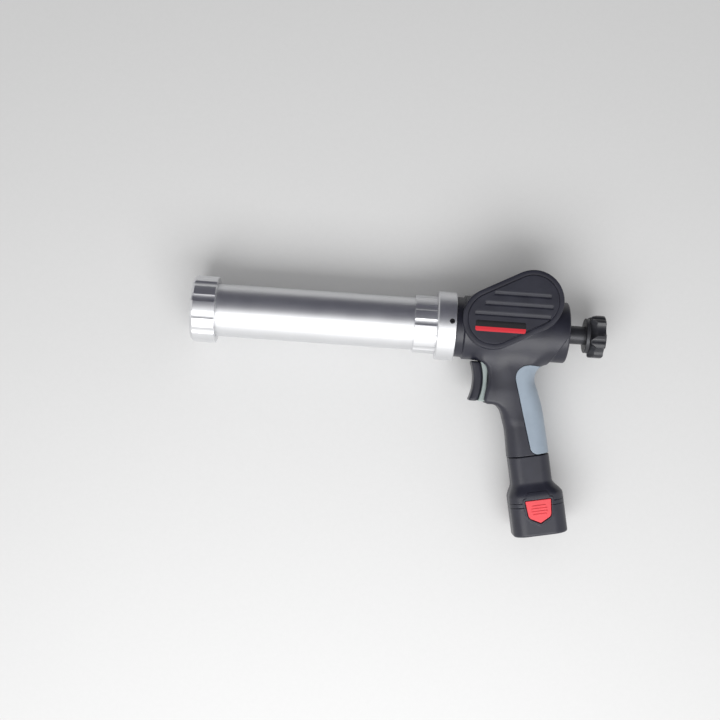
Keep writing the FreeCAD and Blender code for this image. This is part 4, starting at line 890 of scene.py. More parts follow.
@dataclass(frozen=True)
class Barrel:
    """Screw cap, tube, grooved collar and mounting ring, turned about the barrel axis."""

    nozzle: float = 16.0
    cap_wall: float = 4.0
    cap_bore: float = 27.55
    cap_chamfer: float = 3.0
    flutes: int = 12
    flute_cutter: float = 9.5
    cap_flute: float = 1.0
    cap_start: float = 72.5
    collar_flute: float = 0.8
    collar_start: float = 87.0
    flute_from_share: float = 0.9
    flute_blend: float = 0.15
    tube_bore: float = 25.25
    ring_chamfer: float = 1.2
    edge: float = 0.5
    cap_edge: float = 0.8
    cap_rear_edge: float = 0.7
    cap_inner_edge: float = 0.6
    collar_edges: tuple[float, float] = (0.6, 0.3)
    ring_edges: tuple[float, float] = (0.3, 0.2)
    screws: int = 3
    screw_start: float = 83.0
    screw_radius: float = 2.75
    screw_inset: float = 4.8
    screw_length: float = 7.0
    screw_gap: float = 0.1
    point_radius: float = 1.5
    point_length: float = 0.9
    hex_share: float = 0.58
    sink: float = 0.9
    cells: int = 10
    margin: int = 4
    slack: float = 0.01
    span: float = 6.0
    crease: float = 50.0
    columns: int = 240
    fluted_columns: int = 720

    def build(self) -> None:
        """Make the four turned pieces and the set screws."""
        self._cap()
        tube = Span.of("barrel_tube")
        outline = [(tube.low[0], self.tube_bore, self.edge), (tube.low[0], tube.high[1], self.edge),
                   (tube.high[0], tube.high[1], self.edge), (tube.high[0], self.tube_bore, self.edge)]
        shell = turned(rounded_line(outline, steps=3), full_turn(self.columns))
        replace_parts(shell.piece("barrel_tube_look", "body", "satin_aluminium"), "barrel_tube")
        self._collar()
        self._ring()

    def _fluted(self, outer: float, depth: float, start: float) -> Shape:
        """Shape that sinks round-bottomed flutes into an outer surface.

        Args:
            outer: radius of the surface.
            depth: depth of a flute.
            start: angle of the first flute in degrees.

        Returns:
            The shape function for a turned surface.
        """
        reach = outer + self.flute_cutter - depth

        def shape(along: Array, radius: Array, angle: Array) -> Sequence[Array]:
            """Lower the radius where the cutter passes."""
            cut = cutter_line(angle_from(angle, start, self.flutes), reach, self.flute_cutter)
            sunk = soft_least(radius, cut, self.flute_blend)
            return along, np.where(radius > outer * self.flute_from_share, sunk, radius), angle

        return shape

    def _cap(self) -> None:
        """Screw cap with its nozzle opening, front chamfer and flutes."""
        box = Span.of("front_cap")
        low, high, outer = 0.0, box.high[0], max(box.high[1], box.high[2])
        front, floor = low + self.cap_chamfer, low + self.cap_wall
        outline = [(low, self.nozzle, self.cap_edge), (low, outer - self.cap_chamfer, self.cap_edge),
                   (front, outer, self.cap_edge), (high, outer, self.cap_rear_edge),
                   (high, self.cap_bore, self.edge), (floor, self.cap_bore, self.cap_inner_edge),
                   (floor, self.nozzle, self.edge)]
        line, turn = spread(rounded_line(outline, steps=5), self.span), full_turn(self.fluted_columns)
        shell = turned(line, turn, self._fluted(outer, self.cap_flute, self.cap_start))
        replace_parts(shell.piece("front_cap_look", "cap", "satin_aluminium", self.crease), "front_cap")

    def _collar(self) -> None:
        """Collar with flutes like those of the cap."""
        box, tube = Span.of("barrel_collar"), Span.of("barrel_tube")
        outer = max(box.high[1], box.high[2])
        front_edge, rear_edge = self.collar_edges
        outline = [(box.low[0], tube.high[1], 0.0), (box.low[0], outer, front_edge),
                   (box.high[0], outer, rear_edge), (box.high[0], tube.high[1], 0.0)]
        line, turn = spread(rounded_line(outline, steps=5), self.span), full_turn(self.fluted_columns)
        shell = turned(line, turn, self._fluted(outer, self.collar_flute, self.collar_start))
        piece = shell.piece("barrel_collar_look", "body", "satin_aluminium", self.crease)
        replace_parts(piece, "barrel_collar")

    def _ring(self) -> None:
        """Mounting ring with its set screws sunk in round holes."""
        box = Span.of("mounting_ring")
        outer = (box.high[1] - box.low[1]) / 2
        cell = self.screw_radius / self.cells
        window = cell * (self.cells + self.margin)
        centre = box.high[0] - self.screw_inset
        patch = centre + np.linspace(-window, window, 2 * (self.cells + self.margin) + 1)
        starts = np.radians(self.screw_start + np.arange(self.screws) * 360 / self.screws)
        patches = [start + (patch - centre) / outer for start in starts]
        plain = full_turn(self.columns)
        plain = plain[np.all([np.abs(angle_from(plain, math.degrees(start), 1)) > window / outer + self.slack
                              for start in starts], axis=0)]
        angles = np.sort(np.concatenate([plain, *patches]) % (2 * math.pi))
        low, high, chamfer = box.low[0], box.high[0], self.ring_chamfer
        front_edge, rear_edge = self.ring_edges
        front = rounded_line([(low, self.tube_bore, 0), (low, outer - chamfer, front_edge),
                              (low + chamfer, outer, front_edge), (centre, outer, 0)], False, 3)[:-1]
        back = rounded_line([(centre, outer, 0), (high - chamfer / 2, outer, rear_edge),
                             (high, outer - chamfer / 2, rear_edge), (high, self.tube_bore, 0)], False, 3)[1:]
        middle = np.column_stack([patch, np.full_like(patch, outer)])
        shape = self._holes(centre, outer, window)
        shell = turned(np.vstack([front, middle, back]), angles, shape)
        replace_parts(shell.piece("mounting_ring_look", "body", "satin_aluminium"), "mounting_ring")
        height = self.screw_length - self.point_length - self.screw_gap
        screw = Screw(self.screw_radius - self.screw_gap, height, self.point_radius, self.point_length,
                      Drive.HEX, socket_share=self.hex_share).shell()
        middle, top = np.array([centre, 0, 0]), outer - self.sink / 2
        ways = [np.array([0, math.cos(start), math.sin(start)]) for start in starts]
        shells = [screw.moved(turn_onto(way), middle + way * top) for way in ways]
        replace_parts(gathered(shells).piece("set_screws_look", "body", "black_screw"), "set_screws")

    def _holes(self, centre: float, outer: float, window: float) -> Shape:
        """Shape that bends square patches of a turned surface into rings and sinks the middle ones.

        With p and q the offsets over the window and s the larger of |p| and |q|, a point moves towards
        s / hypot(p, q) times its place, fully inside the hole and not at all at the window's edge.

        Args:
            centre: place of the holes along X.
            outer: radius of the surface.
            window: half size of a patch.

        Returns:
            The shape function for a turned surface.
        """
        hole = self.cells / (self.cells + self.margin)

        def shape(along: Array, radius: Array, angle: Array) -> Sequence[Array]:
            """Bend the patches, then lower what lies within a hole."""
            turn = angle_from(angle, self.screw_start, self.screws)
            p, q = (along - centre) / window, turn * outer / window
            size, reach = np.maximum(np.abs(p), np.abs(q)), np.maximum(np.hypot(p, q), 1e-9)
            near = (size < 1) & (radius > outer - self.slack)
            pull = np.where(near, (1 - ease(size, hole, 1.0)) * (size / reach - 1), 0)
            within = near & (size < hole + self.slack)
            lip = within & (size > hole - self.slack)
            drop = np.where(within & ~lip, self.screw_length, 0)
            return along + p * pull * window, radius - drop, angle + q * pull * window / outer

        return shape


@dataclass(frozen=True)
class PushRod:
    """What shows of the push rod behind the housing: its flange, five-lobed knob and bolt."""

    rod_radius: float = 9.5
    rod_end: float = 7.75
    lobes: int = 5
    scallop_start: float = 70.0
    scallop_cutter: float = 8.5
    scallop_depth: float = 5.0
    flare: float = 5.0
    flare_length: float = 6.5
    front_chamfer: float = 1.6
    back_chamfer: float = 1.2
    flange_edge: float = 0.6
    knob_edge: float = 0.5
    shoulder_edge: float = 0.6
    seat_edge: float = 0.4
    head_gap: float = 0.1
    scallop_from: float = 1.0
    scallop_blend: float = 0.7
    span: float = 0.7
    crease: float = 40.0
    flange_columns: int = 160
    knob_columns: int = 540
    bolt: Screw = Screw(4.9, 4.0, 3.0, 22.0, Drive.HEX)

    def build(self) -> None:
        """Make the flange, the knob and the bolt."""
        flange = Span.of("rod_flange")
        (front, _, _), (back, rim, _) = flange.low, flange.high
        outline = [(front, self.rod_radius, 0), (front, rim, self.flange_edge), (back, rim, self.flange_edge),
                   (back, self.rod_radius, 0)]
        shell = turned(rounded_line(outline, steps=4), full_turn(self.flange_columns))
        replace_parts(shell.piece("rod_flange_look", "rod", "black_anodised"), "rod_flange")
        knob = Span.of("pull_knob")
        low, high, outer = knob.low[0], knob.high[0], knob.high[1:].max()
        head, shank = self.bolt.head + self.head_gap, self.bolt.shank
        seat, end = high - self.bolt.height, low + self.rod_end
        outline = [(low, self.rod_radius, 0), (low, outer - self.front_chamfer, self.knob_edge),
                   (low + self.front_chamfer, outer, self.shoulder_edge),
                   (high - self.back_chamfer, outer, self.knob_edge),
                   (high, outer - self.back_chamfer, self.knob_edge), (high, head, self.seat_edge),
                   (seat, head, 0), (seat, shank, 0), (end, shank, 0), (end, self.rod_radius, 0)]
        line = spread(rounded_line(outline, steps=4), self.span)
        shell = turned(line, full_turn(self.knob_columns), self._scallops(low, outer))
        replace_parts(shell.piece("pull_knob_look", "rod", "gloss_black", self.crease), "pull_knob")
        bolt = self.bolt.shell().moved(turn_onto((1, 0, 0)), np.array([high, 0, 0]))
        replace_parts(bolt.piece("knob_bolt_look", "rod", "black_screw"), "knob_bolt")

    def _scallops(self, front: float, outer: float) -> Shape:
        """Shape that cuts finger scallops which widen towards the knob's front.

        The cutter's radius falls from its widest at the front to its own over the flare's length, while its
        distance from the axis stays.

        Args:
            front: place of the knob's front along X.
            outer: radius over the lobes.

        Returns:
            The shape function for a turned surface.
        """
        reach = outer + self.scallop_cutter - self.scallop_depth

        def shape(along: Array, radius: Array, angle: Array) -> Sequence[Array]:
            """Lower the radius where the cutter passes."""
            widen = np.clip(1 - (along - front) / self.flare_length, 0, 1)
            cutter = self.scallop_cutter + self.flare * widen
            cut = cutter_line(angle_from(angle, self.scallop_start, self.lobes), reach, cutter)
            sunk = soft_least(radius, cut, self.scallop_blend)
            return along, np.where(radius > self.rod_radius + self.scallop_from, sunk, radius), angle

        return shape


@dataclass(frozen=True)
class GearCovers:
    """Cover over the gear chamber on the left side; the right one keeps its CAD form."""

    radius: float = 31.2
    lobe_rise: float = 10.0
    panel_inset: float = 6.0
    louvres: tuple[Colour, ...] = ((0.825, -0.03, 1.81), (0.48, -0.31, 1.90), (0.14, -0.62, 1.84))
    louvre_width: float = 3.9
    louvre_depth: float = 0.6
    louvre_profile: tuple[tuple[float, ...], ...] = ((0.0, 0.08, 0.30, 0.55, 0.78, 0.84, 0.95, 1.0),
                                                     (0.0, 0.16, 0.42, 0.72, 1.00, 0.95, 0.15, 0.0))
    wall: float = 0.14
    least_walls: float = 12.0
    end_turn: int = 60
    end_step: int = 4
    row_start: float = 1.0
    row_step: float = 1.3
    row_gap: float = 0.4
    slack: float = 0.01
    side_columns: int = 7
    louvre_columns: int = 24
    crease: float = 30.0
    label_place: tuple[float, float] = (0.235, -0.26)
    label_size: tuple[float, float] = (51.0, 11.0)
    label_band: float = 4.6
    label_rise: float = 0.12
    label_round: float = 2.0
    label_sink: float = 0.05
    label_edge: float = 0.1
    label_side_share: float = 0.6
    label_span: float = 2.0
    label_dark: Colour = (0.010, 0.010, 0.012)
    label_red: Colour = (0.66, 0.025, 0.04)
    rim: tuple[tuple[float, float], ...] = (
        (0.9, -3.8), (0.9, -3.35), (0.25, -3.2), (0.0, -2.9), (0.0, -2.0), (0.15, -1.5), (0.6, -1.1),
        (1.2, -1.0), (4.3, -0.85), (4.75, -0.95), (4.95, -1.2), (5.2, -1.0), (5.35, -0.4), (5.6, -0.06),
        (6.0, 0.0))

    def build(self) -> None:
        """Make the left cover with its louvres, and its plain label."""
        front = np.array([joint_place("pinion_spin")[0], self.lobe_rise])
        rear = joint_place("output_spin")
        top = Span.of("gear_cover_left").high[2]
        shell = self._rim(front, rear, top).joined(self._panel(front, rear, top)).welded().outward()
        piece = shell.piece("gear_cover_left_look", "body", "black_plastic", self.crease)
        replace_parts(piece, "gear_cover_left")
        self._label(front, top)

    def _levels(self, front: Array, rear: Array, reach: float) -> Array:
        """Heights of the panel's rows: fine at its round ends and on every louvre edge."""
        turn = np.radians(np.arange(0, self.end_turn + 1, self.end_step))
        round_end = reach * (1 - np.cos(turn))
        low, high = front[1] - reach, rear[1] + reach
        even = np.arange(low + reach / 2 + self.row_start, high - reach / 2, self.row_step)
        rows = [low + round_end, high - round_end, even]
        for rise, _, _ in self.louvres:
            middle = front[1] + rise * self.radius
            rows = [row[np.abs(row - middle) > self.louvre_width / 2 + self.row_gap] for row in rows]
            rows.append(middle + self.louvre_width * (0.5 - np.array(self.louvre_profile[0])))
        return np.unique(np.round(np.concatenate(rows), 6))

    @staticmethod
    def _sides(front: Array, rear: Array, reach: float, level: Array) -> tuple[Array, Array]:
        """Left and right edge of the stadium at each height.

        Args:
            front: centre of the front lobe.
            rear: centre of the rear lobe.
            reach: radius about both.
            level: heights.

        Returns:
            The X of both edges, on a lobe's circle or on the tangent between the lobes.
        """
        along = (rear - front) / np.linalg.norm(rear - front)
        lift = reach * along[0]
        edges = []
        for side in (-1, 1):
            on_front = front[0] + side * np.sqrt(np.maximum(reach ** 2 - (level - front[1]) ** 2, 0))
            on_rear = rear[0] + side * np.sqrt(np.maximum(reach ** 2 - (level - rear[1]) ** 2, 0))
            start = front + side * reach * np.array([along[1], -along[0]])
            tangent = start[0] + (level - start[1]) * along[0] / along[1]
            low, high = front[1] - side * lift, rear[1] - side * lift
            edges.append(np.where(level <= low, on_front, np.where(level >= high, on_rear, tangent)))
        return edges[0], edges[1]

    def _panel(self, front: Array, rear: Array, top: float) -> Shell:
        """Raised panel: a grid whose rows and columns follow the louvre edges."""
        reach = self.radius - self.panel_inset
        level = self._levels(front, rear, reach)
        left, right = self._sides(front, rear, reach, level)
        width = np.maximum(right - left, 1e-6)
        known, starts, ends = [], [], []
        depth = np.zeros_like(level)
        for rise, start, end in self.louvres:
            middle = front[1] + rise * self.radius
            span = np.abs(level - middle) < self.louvre_width / 2 + self.slack
            known.append(level[span])
            starts.append((front[0] + start * self.radius - left[span]) / width[span])
            ends.append((front[0] + end * self.radius - left[span]) / width[span])
            fall = (middle + self.louvre_width / 2 - level) / self.louvre_width
            depth += self.louvre_depth * np.interp(fall, *self.louvre_profile)
        order = np.argsort(np.concatenate(known))
        places = np.concatenate(known)[order]
        start = np.interp(level, places, np.concatenate(starts)[order])
        end = np.interp(level, places, np.concatenate(ends)[order])
        wall = self.wall / np.maximum(width, self.wall * self.least_walls)
        side = np.linspace(0, 1, self.side_columns + 1)
        floor = np.linspace(0, 1, self.louvre_columns + 1)
        before = side[:-1] * start[:, None]
        between = start[:, None] + wall[:, None] + floor * (end - start - 2 * wall)[:, None]
        after = end[:, None] + side[1:] * (1 - end)[:, None]
        share = np.hstack([before, start[:, None], between, end[:, None], after])
        sunk = np.zeros_like(share)
        sunk[:, before.shape[1] + 1:before.shape[1] + 1 + between.shape[1]] = depth[:, None]
        grid = np.stack([left[:, None] + share * width[:, None], np.broadcast_to(level[:, None], share.shape),
                         top - sunk], axis=-1)
        grid[[0, -1], :, 0] = [[front[0]], [rear[0]]]
        return Shell.of_grid(grid)

    def _rim(self, front: Array, rear: Array, top: float) -> Shell:
        """Edge of the cover: its profile carried round the stadium, closed below on the middle line."""
        reach = self.radius - self.panel_inset
        level = self._levels(front, rear, reach)
        left, right = self._sides(front, rear, reach, level)
        left[[0, -1]] = right[[0, -1]] = front[0], rear[0]
        loop = np.vstack([np.column_stack([left, level])[::-1], np.column_stack([right, level])[1:-1]])
        length = np.linalg.norm(rear - front)
        along = (rear - front) / length
        spine = front + np.clip((loop - front) @ along, 0, length)[:, None] * along
        out = (loop - spine) / reach
        rows = [np.column_stack([spine, np.full(len(loop), top + self.rim[0][1])])]
        rows += [np.column_stack([spine + out * (self.radius - inset), np.full(len(loop), top + height)])
                 for inset, height in self.rim]
        return Shell.of_grid(np.stack(rows), loop_columns=True)

    def _label(self, front: Array, top: float) -> None:
        """Plain two-band label film."""
        middle = front + np.array(self.label_place) * self.radius
        half = np.array(self.label_size) / 2
        corners = [(half[0] * across, half[1] * up, self.label_round)
                   for across, up in ((-1, -1), (1, -1), (1, 1), (-1, 1))]
        outline = spread(rounded_line(corners), self.label_span) + middle
        ends = middle[0] + np.array([-1, 1]) * (half[0] - half[1])
        spine = np.column_stack([np.clip(outline[:, 0], *ends), np.full(len(outline), middle[1])])
        steps = [(0.0, top - self.label_sink), (0.0, top + self.label_rise * self.label_side_share),
                 (self.label_edge, top + self.label_rise)]
        shell = carried(outline, spine, steps, 2)
        piece = shell.piece("cover_label", "body", "black_plastic")
        level = middle[1] - half[1] + self.label_band
        label = PrintedLabel(self.label_dark, self.label_red, level)
        piece.data.materials[0] = label.material("plain_label")


def stacked(level: Array, front: Array, rear: Array, half: Array, corner: float, edge: float,
            steps: int = 6) -> Shell:
    """Body of rounded-rectangle sections stacked along Y, with rounded ends.

    Near an end the sections draw in by e - sqrt(e e - d d), where e is the edge radius and d how far the
    section lies within e of the end. Each section's corners are quarter circles.

    Args:
        level: heights, rising.
        front: lowest X of each section.
        rear: highest X of each section.
        half: half width along Z of each section.
        corner: corner radius.
        edge: radius of the rounded ends.
        steps: spans of each corner.

    Returns:
        The closed surface.
    """
    near = np.maximum(np.maximum(level[0] + edge - level, level - level[-1] + edge), 0)
    inset = edge - np.sqrt(np.maximum(edge ** 2 - near ** 2, 0))
    quarter = np.linspace(0, math.pi / 2, steps + 1)
    angle = np.concatenate([quarter + turn * math.pi / 2 for turn in range(4)])
    turn = np.repeat(np.arange(4), steps + 1)
    sign_x, sign_z = np.array([1, -1, -1, 1])[turn], np.array([1, 1, -1, -1])[turn]
    depth = ((rear - front) / 2 - inset)[:, None]
    width = (half - inset)[:, None]
    radius = np.minimum(corner, np.minimum(depth, width))
    across = ((front + rear) / 2)[:, None] + sign_x * (depth - radius) + radius * np.cos(angle)
    aside = sign_z * (width - radius) + radius * np.sin(angle)
    grid = np.stack([across, np.broadcast_to(level[:, None], across.shape), aside], axis=-1)
    ends = [np.broadcast_to(row.mean(axis=0), row.shape) for row in (grid[0], grid[-1])]
    return Shell.of_grid(np.concatenate([ends[0][None], grid, ends[1][None]]), loop_columns=True).outward()


def end_levels(low: float, high: float, edge: float, middle: int = 24) -> Array:
    """Heights for stacked sections: round at both ends and even between."""
    round_end = edge * (1 - np.cos(np.radians(np.arange(0, 91, 15))))
    even = np.linspace(low + edge, high - edge, middle)[1:-1]
    return np.concatenate([low + round_end, even, (high - round_end)[::-1]])


@dataclass(frozen=True)
class TriggerGroup:
    """Trigger with its hollow front, and the pale crescent behind it."""

    hollow: float = 4.2
    inlay_depth: float = 8.4
    inlay_hollow: float = 3.8
    gap: float = 0.25
    edge: float = 2.0
    corner: float = 3.0
    stem_height: float = 14.0
    stem_width: float = 12.0
    stem_corner: float = 1.0
    stem_edge: float = 0.5
    stem_rows: int = 4
    inlay_inset: float = 0.15
    inlay_corner: float = 1.2
    inlay_edge: float = 1.0
    crease: float = 45.0

    def build(self) -> None:
        """Make both pieces from sections that follow their hollow arcs."""
        box, inlay = Span.of("trigger"), Span.of("trigger_inlay")
        front, back, half = box.low[0], inlay.high[0], box.high[2]
        low, high = box.low[1], box.high[1]
        level = end_levels(low, high, self.edge)
        bow = 1 - ((2 * level - low - high) / (high - low)) ** 2
        seam = back - self.inlay_depth + self.inlay_hollow * bow
        width = np.full_like(level, half)
        face = stacked(level, front + self.hollow * bow, seam - self.gap, width, self.corner, self.edge)
        middle, rise = (low + high) / 2, self.stem_height / 2
        stem_level = end_levels(middle - rise, middle + rise, self.stem_edge, self.stem_rows)
        flat = np.ones_like(stem_level)
        stem = stacked(stem_level, flat * (back - self.inlay_depth), flat * box.high[0],
                       flat * self.stem_width / 2, self.stem_corner, self.stem_edge)
        piece = face.joined(stem).piece("trigger_look", "trigger", "black_plastic", self.crease)
        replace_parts(piece, "trigger")
        crescent = stacked(level, seam + self.gap, np.full_like(level, back), width - self.inlay_inset,
                           self.inlay_corner, self.inlay_edge)
        piece = crescent.piece("trigger_inlay_look", "trigger", "pale_inlay", self.crease)
        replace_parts(piece, "trigger_inlay")


def rounded_most(first: Array, second: Array, radius: float) -> Array:
    """Larger of two distances, with the outer edge between them rounded.

    It is hypot(max(a + r, 0), max(b + r, 0)) - r + min(max(a, b) + r, 0).
    """
    over = np.hypot(np.maximum(first + radius, 0), np.maximum(second + radius, 0))
    return over - radius + np.minimum(np.maximum(first, second) + radius, 0)


def bar_field(u: Array, z: Array, half_u: Array, half_z: Array, corner: Array) -> Array:
    """Distance to a rounded rectangle about the origin."""
    across, aside = np.abs(u) - half_u + corner, np.abs(z) - half_z + corner
    beyond = np.hypot(np.maximum(across, 0), np.maximum(aside, 0))
    return beyond + np.minimum(np.maximum(across, aside), 0) - corner


def curve_through(places: Sequence[float], heights: Sequence[float]) -> Callable[[Array], Array]:
    """Smooth curve through points, held flat beyond its ends.

    Between two points it is the cubic whose slope at each is the mean slope of its neighbours.

    Args:
        places: rising places.
        heights: value at each place.

    Returns:
        The curve as a function.
    """
    at, to = np.array(places), np.array(heights)
    slope = np.gradient(to, at)

    def curve(value: Array) -> Array:
        """Value of the curve at each place."""
        value = np.clip(value, at[0], at[-1])
        index = np.clip(np.searchsorted(at, value, side="right") - 1, 0, len(at) - 2)
        step = at[index + 1] - at[index]
        t = (value - at[index]) / step
        rise = (2 * t ** 3 - 3 * t ** 2 + 1) * to[index] + (3 * t ** 2 - 2 * t ** 3) * to[index + 1]
        return rise + step * ((t ** 3 - 2 * t ** 2 + t) * slope[index] + (t ** 3 - t ** 2) * slope[index + 1])

    return curve


@dataclass(frozen=True)
class HandleAxes:
    """Axes of the handle: u across its depth, v up from the centre of its rim, z across its width."""

    setback: float = 85.2
    drop: float = 127.25
    tilt: float = math.radians(11.3)

    @property
    def centre(self) -> Array:
        """Centre of the rim in the tool's axes."""
        return np.array([Span.of("mounting_ring").high[0] + self.setback, -self.drop, 0])

    @property
    def turn(self) -> Array:
        """Matrix from the handle's axes to the tool's."""
        cosine, sine = math.cos(self.tilt), math.sin(self.tilt)
        return np.array([[cosine, -sine, 0], [sine, cosine, 0], [0, 0, 1]])

    def local(self, x: Array, y: Array) -> tuple[Array, Array]:
        """Places in the handle's axes for places in the tool's."""
        cosine, sine = math.cos(self.tilt), math.sin(self.tilt)
        dx, dy = x - self.centre[0], y - self.centre[1]
        return dx * cosine + dy * sine, dy * cosine - dx * sine


HANDLE = HandleAxes()


@dataclass(frozen=True)
class Housing:
    """Two moulded halves of the drive housing with the soft grip insert, cut from one field of distances."""

    wall: float = 3.2
    front_wall: float = 4.0
    neck_length: float = 7.7
    neck_radius: float = 31.0
    drum_radius: float = 33.0
    edge: float = 2.0
    front_edge: float = 0.5
    tail_lift: float = 3.0
    tail_blend: float = 0.5
    tail_share: float = 0.87
    tail_slope: float = math.tan(math.radians(90 - 60.6))
    lobe_radius: float = 31.2
    lobe_rise: float = 10.0
    boss_rise: float = 33.2
    boss_edge: float = 0.4
    boss_blend: float = 0.8
    overrun: float = 2.0
    depth: float = 42.4
    width: float = 39.0
    corner_share: float = 0.76
    rim_edge: float = 0.7
    handle_blend: float = 11.0
    sections: tuple[tuple[float, ...], ...] = (
        (0.00, 0.20, 0.38, 0.50, 0.61, 0.69, 0.79, 0.93),
        (-0.507, -0.486, -0.488, -0.495, -0.519, -0.545, -0.610, -0.650),
        (0.493, 0.486, 0.468, 0.418, 0.384, 0.500, 0.860, 0.900),
        (0.500, 0.495, 0.488, 0.482, 0.487, 0.510, 0.555, 0.690))
    block_setback: float = 37.7
    block_drop: float = 77.5
    block_front: tuple[tuple[float, ...], ...] = ((-95.0, -72.0, -43.0, -38.0, -33.0),
                                                  (-4.0, -2.9, -1.4, -3.2, -9.3))
    block_half: float = 18.0
    block_taper: float = 4.0
    taper_drop: tuple[float, float] = (60.0, 92.0)
    block_round: float = 5.0
    block_edge: float = 4.5
    block_blend: float = 9.0
    finger: float = 17.0
    trigger_gap: float = 0.6
    pocket_half: float = 11.6
    pocket_depth: float = 7.0
    stem_half: float = 6.6
    stem_rise: float = 7.6
    stem_reach: float = 8.0
    bush_radius: float = 12.5
    inner_blend: float = 0.3
    opening_blend: float = 0.6
    seam_half: float = 0.03
    seam_blend: float = 0.5
    skin: float = 1.5
    grip_gap: float = 0.25
    grip_proud: float = 0.25
    grip_slope: float = 0.27
    grip_low_share: float = 0.004
    grip_top_share: float = 0.725
    grip_slant_share: float = 0.28
    grip_bend_shares: tuple[float, float] = (-0.11, 0.625)
    grip_foot_shares: tuple[float, float] = (0.03, 0.075)
    grip_round: float = 14.0
    foot_round: float = 7.0
    grip_edge: float = 0.6
    pocket_slack: float = 0.1
    pillar: float = 3.5
    screw_fronts: tuple[float, float] = (5.1, 12.0)
    screw_rear: float = 9.6
    screw_block: float = 40.5
    screw_heights: tuple[float, ...] = (0.62, -0.60, 0.62, -0.62, -1.53)
    screw_seat: float = 9.25
    screw: Screw = Screw(3.0, 3.0, 1.5, 18.0)
    head_gap: float = 0.25
    cell: float = 0.85
    margin: float = 1.2
    seam_rows: tuple[float, ...] = (-0.5, -0.15, 0.2, 0.55)
    first_row: float = 1.1
    grip_cell: float = 0.6
    grip_margin: float = 2.0

    def outer(self, x: Array, y: Array, z: Array) -> Array:
        """Distance to the outside of both halves together: drum, gear chamber, handle and trigger block."""
        body = soft_least(self._drum(x, y, z), self._handle(x, y, z, 0.0), self.handle_blend)
        body = soft_least(body, self._block(x, y, z), self.block_blend)
        return soft_least(body, self._chamber(x, y, z, 0.0, self.boss_rise), self.boss_blend)

    def _drum(self, x: Array, y: Array, z: Array) -> Array:
        """Drum with its neck in front and its raised tail behind a slanted line."""
        box = Span.of("housing_left")
        radius = np.hypot(y, z)
        neck = ease(x, box.low[0] + self.neck_length, box.low[0] + self.neck_length + self.edge)
        side = radius - self.neck_radius - (self.drum_radius - self.neck_radius) * neck
        behind = (x - box.high[0] - np.minimum(y, 0) * self.tail_slope) * self.tail_share
        raised = np.hypot(y - self.tail_lift, z) - self.drum_radius
        side = np.minimum(soft_most(side, behind, self.tail_blend), soft_most(side, raised, self.tail_blend))
        return rounded_most(rounded_most(side, x - box.high[0], self.edge), box.low[0] - x, self.front_edge)

    def _chamber(self, x: Array, y: Array, z: Array, inset: float, rise: float) -> Array:
        """Stadium boss of the gear chamber, drawn in by an inset and ended at a height."""
        front = np.array([joint_place("pinion_spin")[0], self.lobe_rise])
        rear = joint_place("output_spin")
        reach = np.linalg.norm(rear - front)
        along = (rear - front) / reach
        x, y = x - front[0], y - front[1]
        share = np.clip(x * along[0] + y * along[1], 0, reach)
        side = np.hypot(x - share * along[0], y - share * along[1]) - self.lobe_radius + inset
        return rounded_most(side, np.abs(z) - rise, self.boss_edge)

    def _handle(self, x: Array, y: Array, z: Array, inset: float) -> Array:
        """Handle of rounded sections that follow the shares of its front, rear and width."""
        u, v = HANDLE.local(x, y)
        height = v / HANDLE.drop
        shares, fronts, rears, halves = self.sections
        front = curve_through(shares, fronts)(height) * self.depth
        rear = curve_through(shares, rears)(height) * self.depth
        half = curve_through(shares, halves)(height) * self.width
        side = bar_field(u - (front + rear) / 2, z, (rear - front) / 2 - inset, half - inset,
                         half * self.corner_share - inset)
        top = v - shares[-1] * HANDLE.drop
        return rounded_most(np.maximum(side, top), -v - (self.overrun if inset else 0.0), self.rim_edge)

    def _block(self, x: Array, y: Array, z: Array) -> Array:
        """Trigger block with the hollow under it for the finger."""
        front = Span.of("mounting_ring").high[0] + self.block_setback
        rest, low = front + self.block_round, -self.block_drop
        back = rest + 2 * self.finger
        front = front + curve_through(*self.block_front)(y)
        plate = np.maximum(np.maximum(front - x, x - back),
                           np.maximum(low - self.finger - y, y + self.drum_radius / 2))
        hollow = np.minimum(np.hypot(x - rest, y - low + self.finger) - self.finger,
                            np.maximum(x - rest, y - low))
        half = self.block_half - self.block_taper * ease(-y, *self.taper_drop)
        return rounded_most(rounded_most(plate, -hollow, self.block_round), np.abs(z) - half, self.block_edge)

    def _hollow(self, x: Array, y: Array, z: Array) -> Array:
        """Distance to the space inside the walls."""
        box = Span.of("housing_left")
        drum = np.maximum(self._drum(x, y, z) + self.wall, box.low[0] + self.front_wall - x)
        space = np.minimum(drum, self._chamber(x, y, z, self.wall, self.boss_rise + self.overrun))
        space = np.minimum(space, self._handle(x, y, z, self.wall))
        pillars = [np.hypot(x - px, y - py) - self.pillar for px, py in self.screw_places()]
        return np.maximum(space, -np.minimum.reduce(pillars))

    def screw_places(self) -> Array:
        """Places of the screws that close the housing, as rows of X and Y."""
        box = Span.of("housing_left")
        fronts, rear = box.low[0] + np.array(self.screw_fronts), box.high[0] - self.screw_rear
        along = (*fronts, rear, rear, box.low[0] + self.block_setback + self.screw_block)
        return np.column_stack([along, np.array(self.screw_heights) * self.drum_radius])

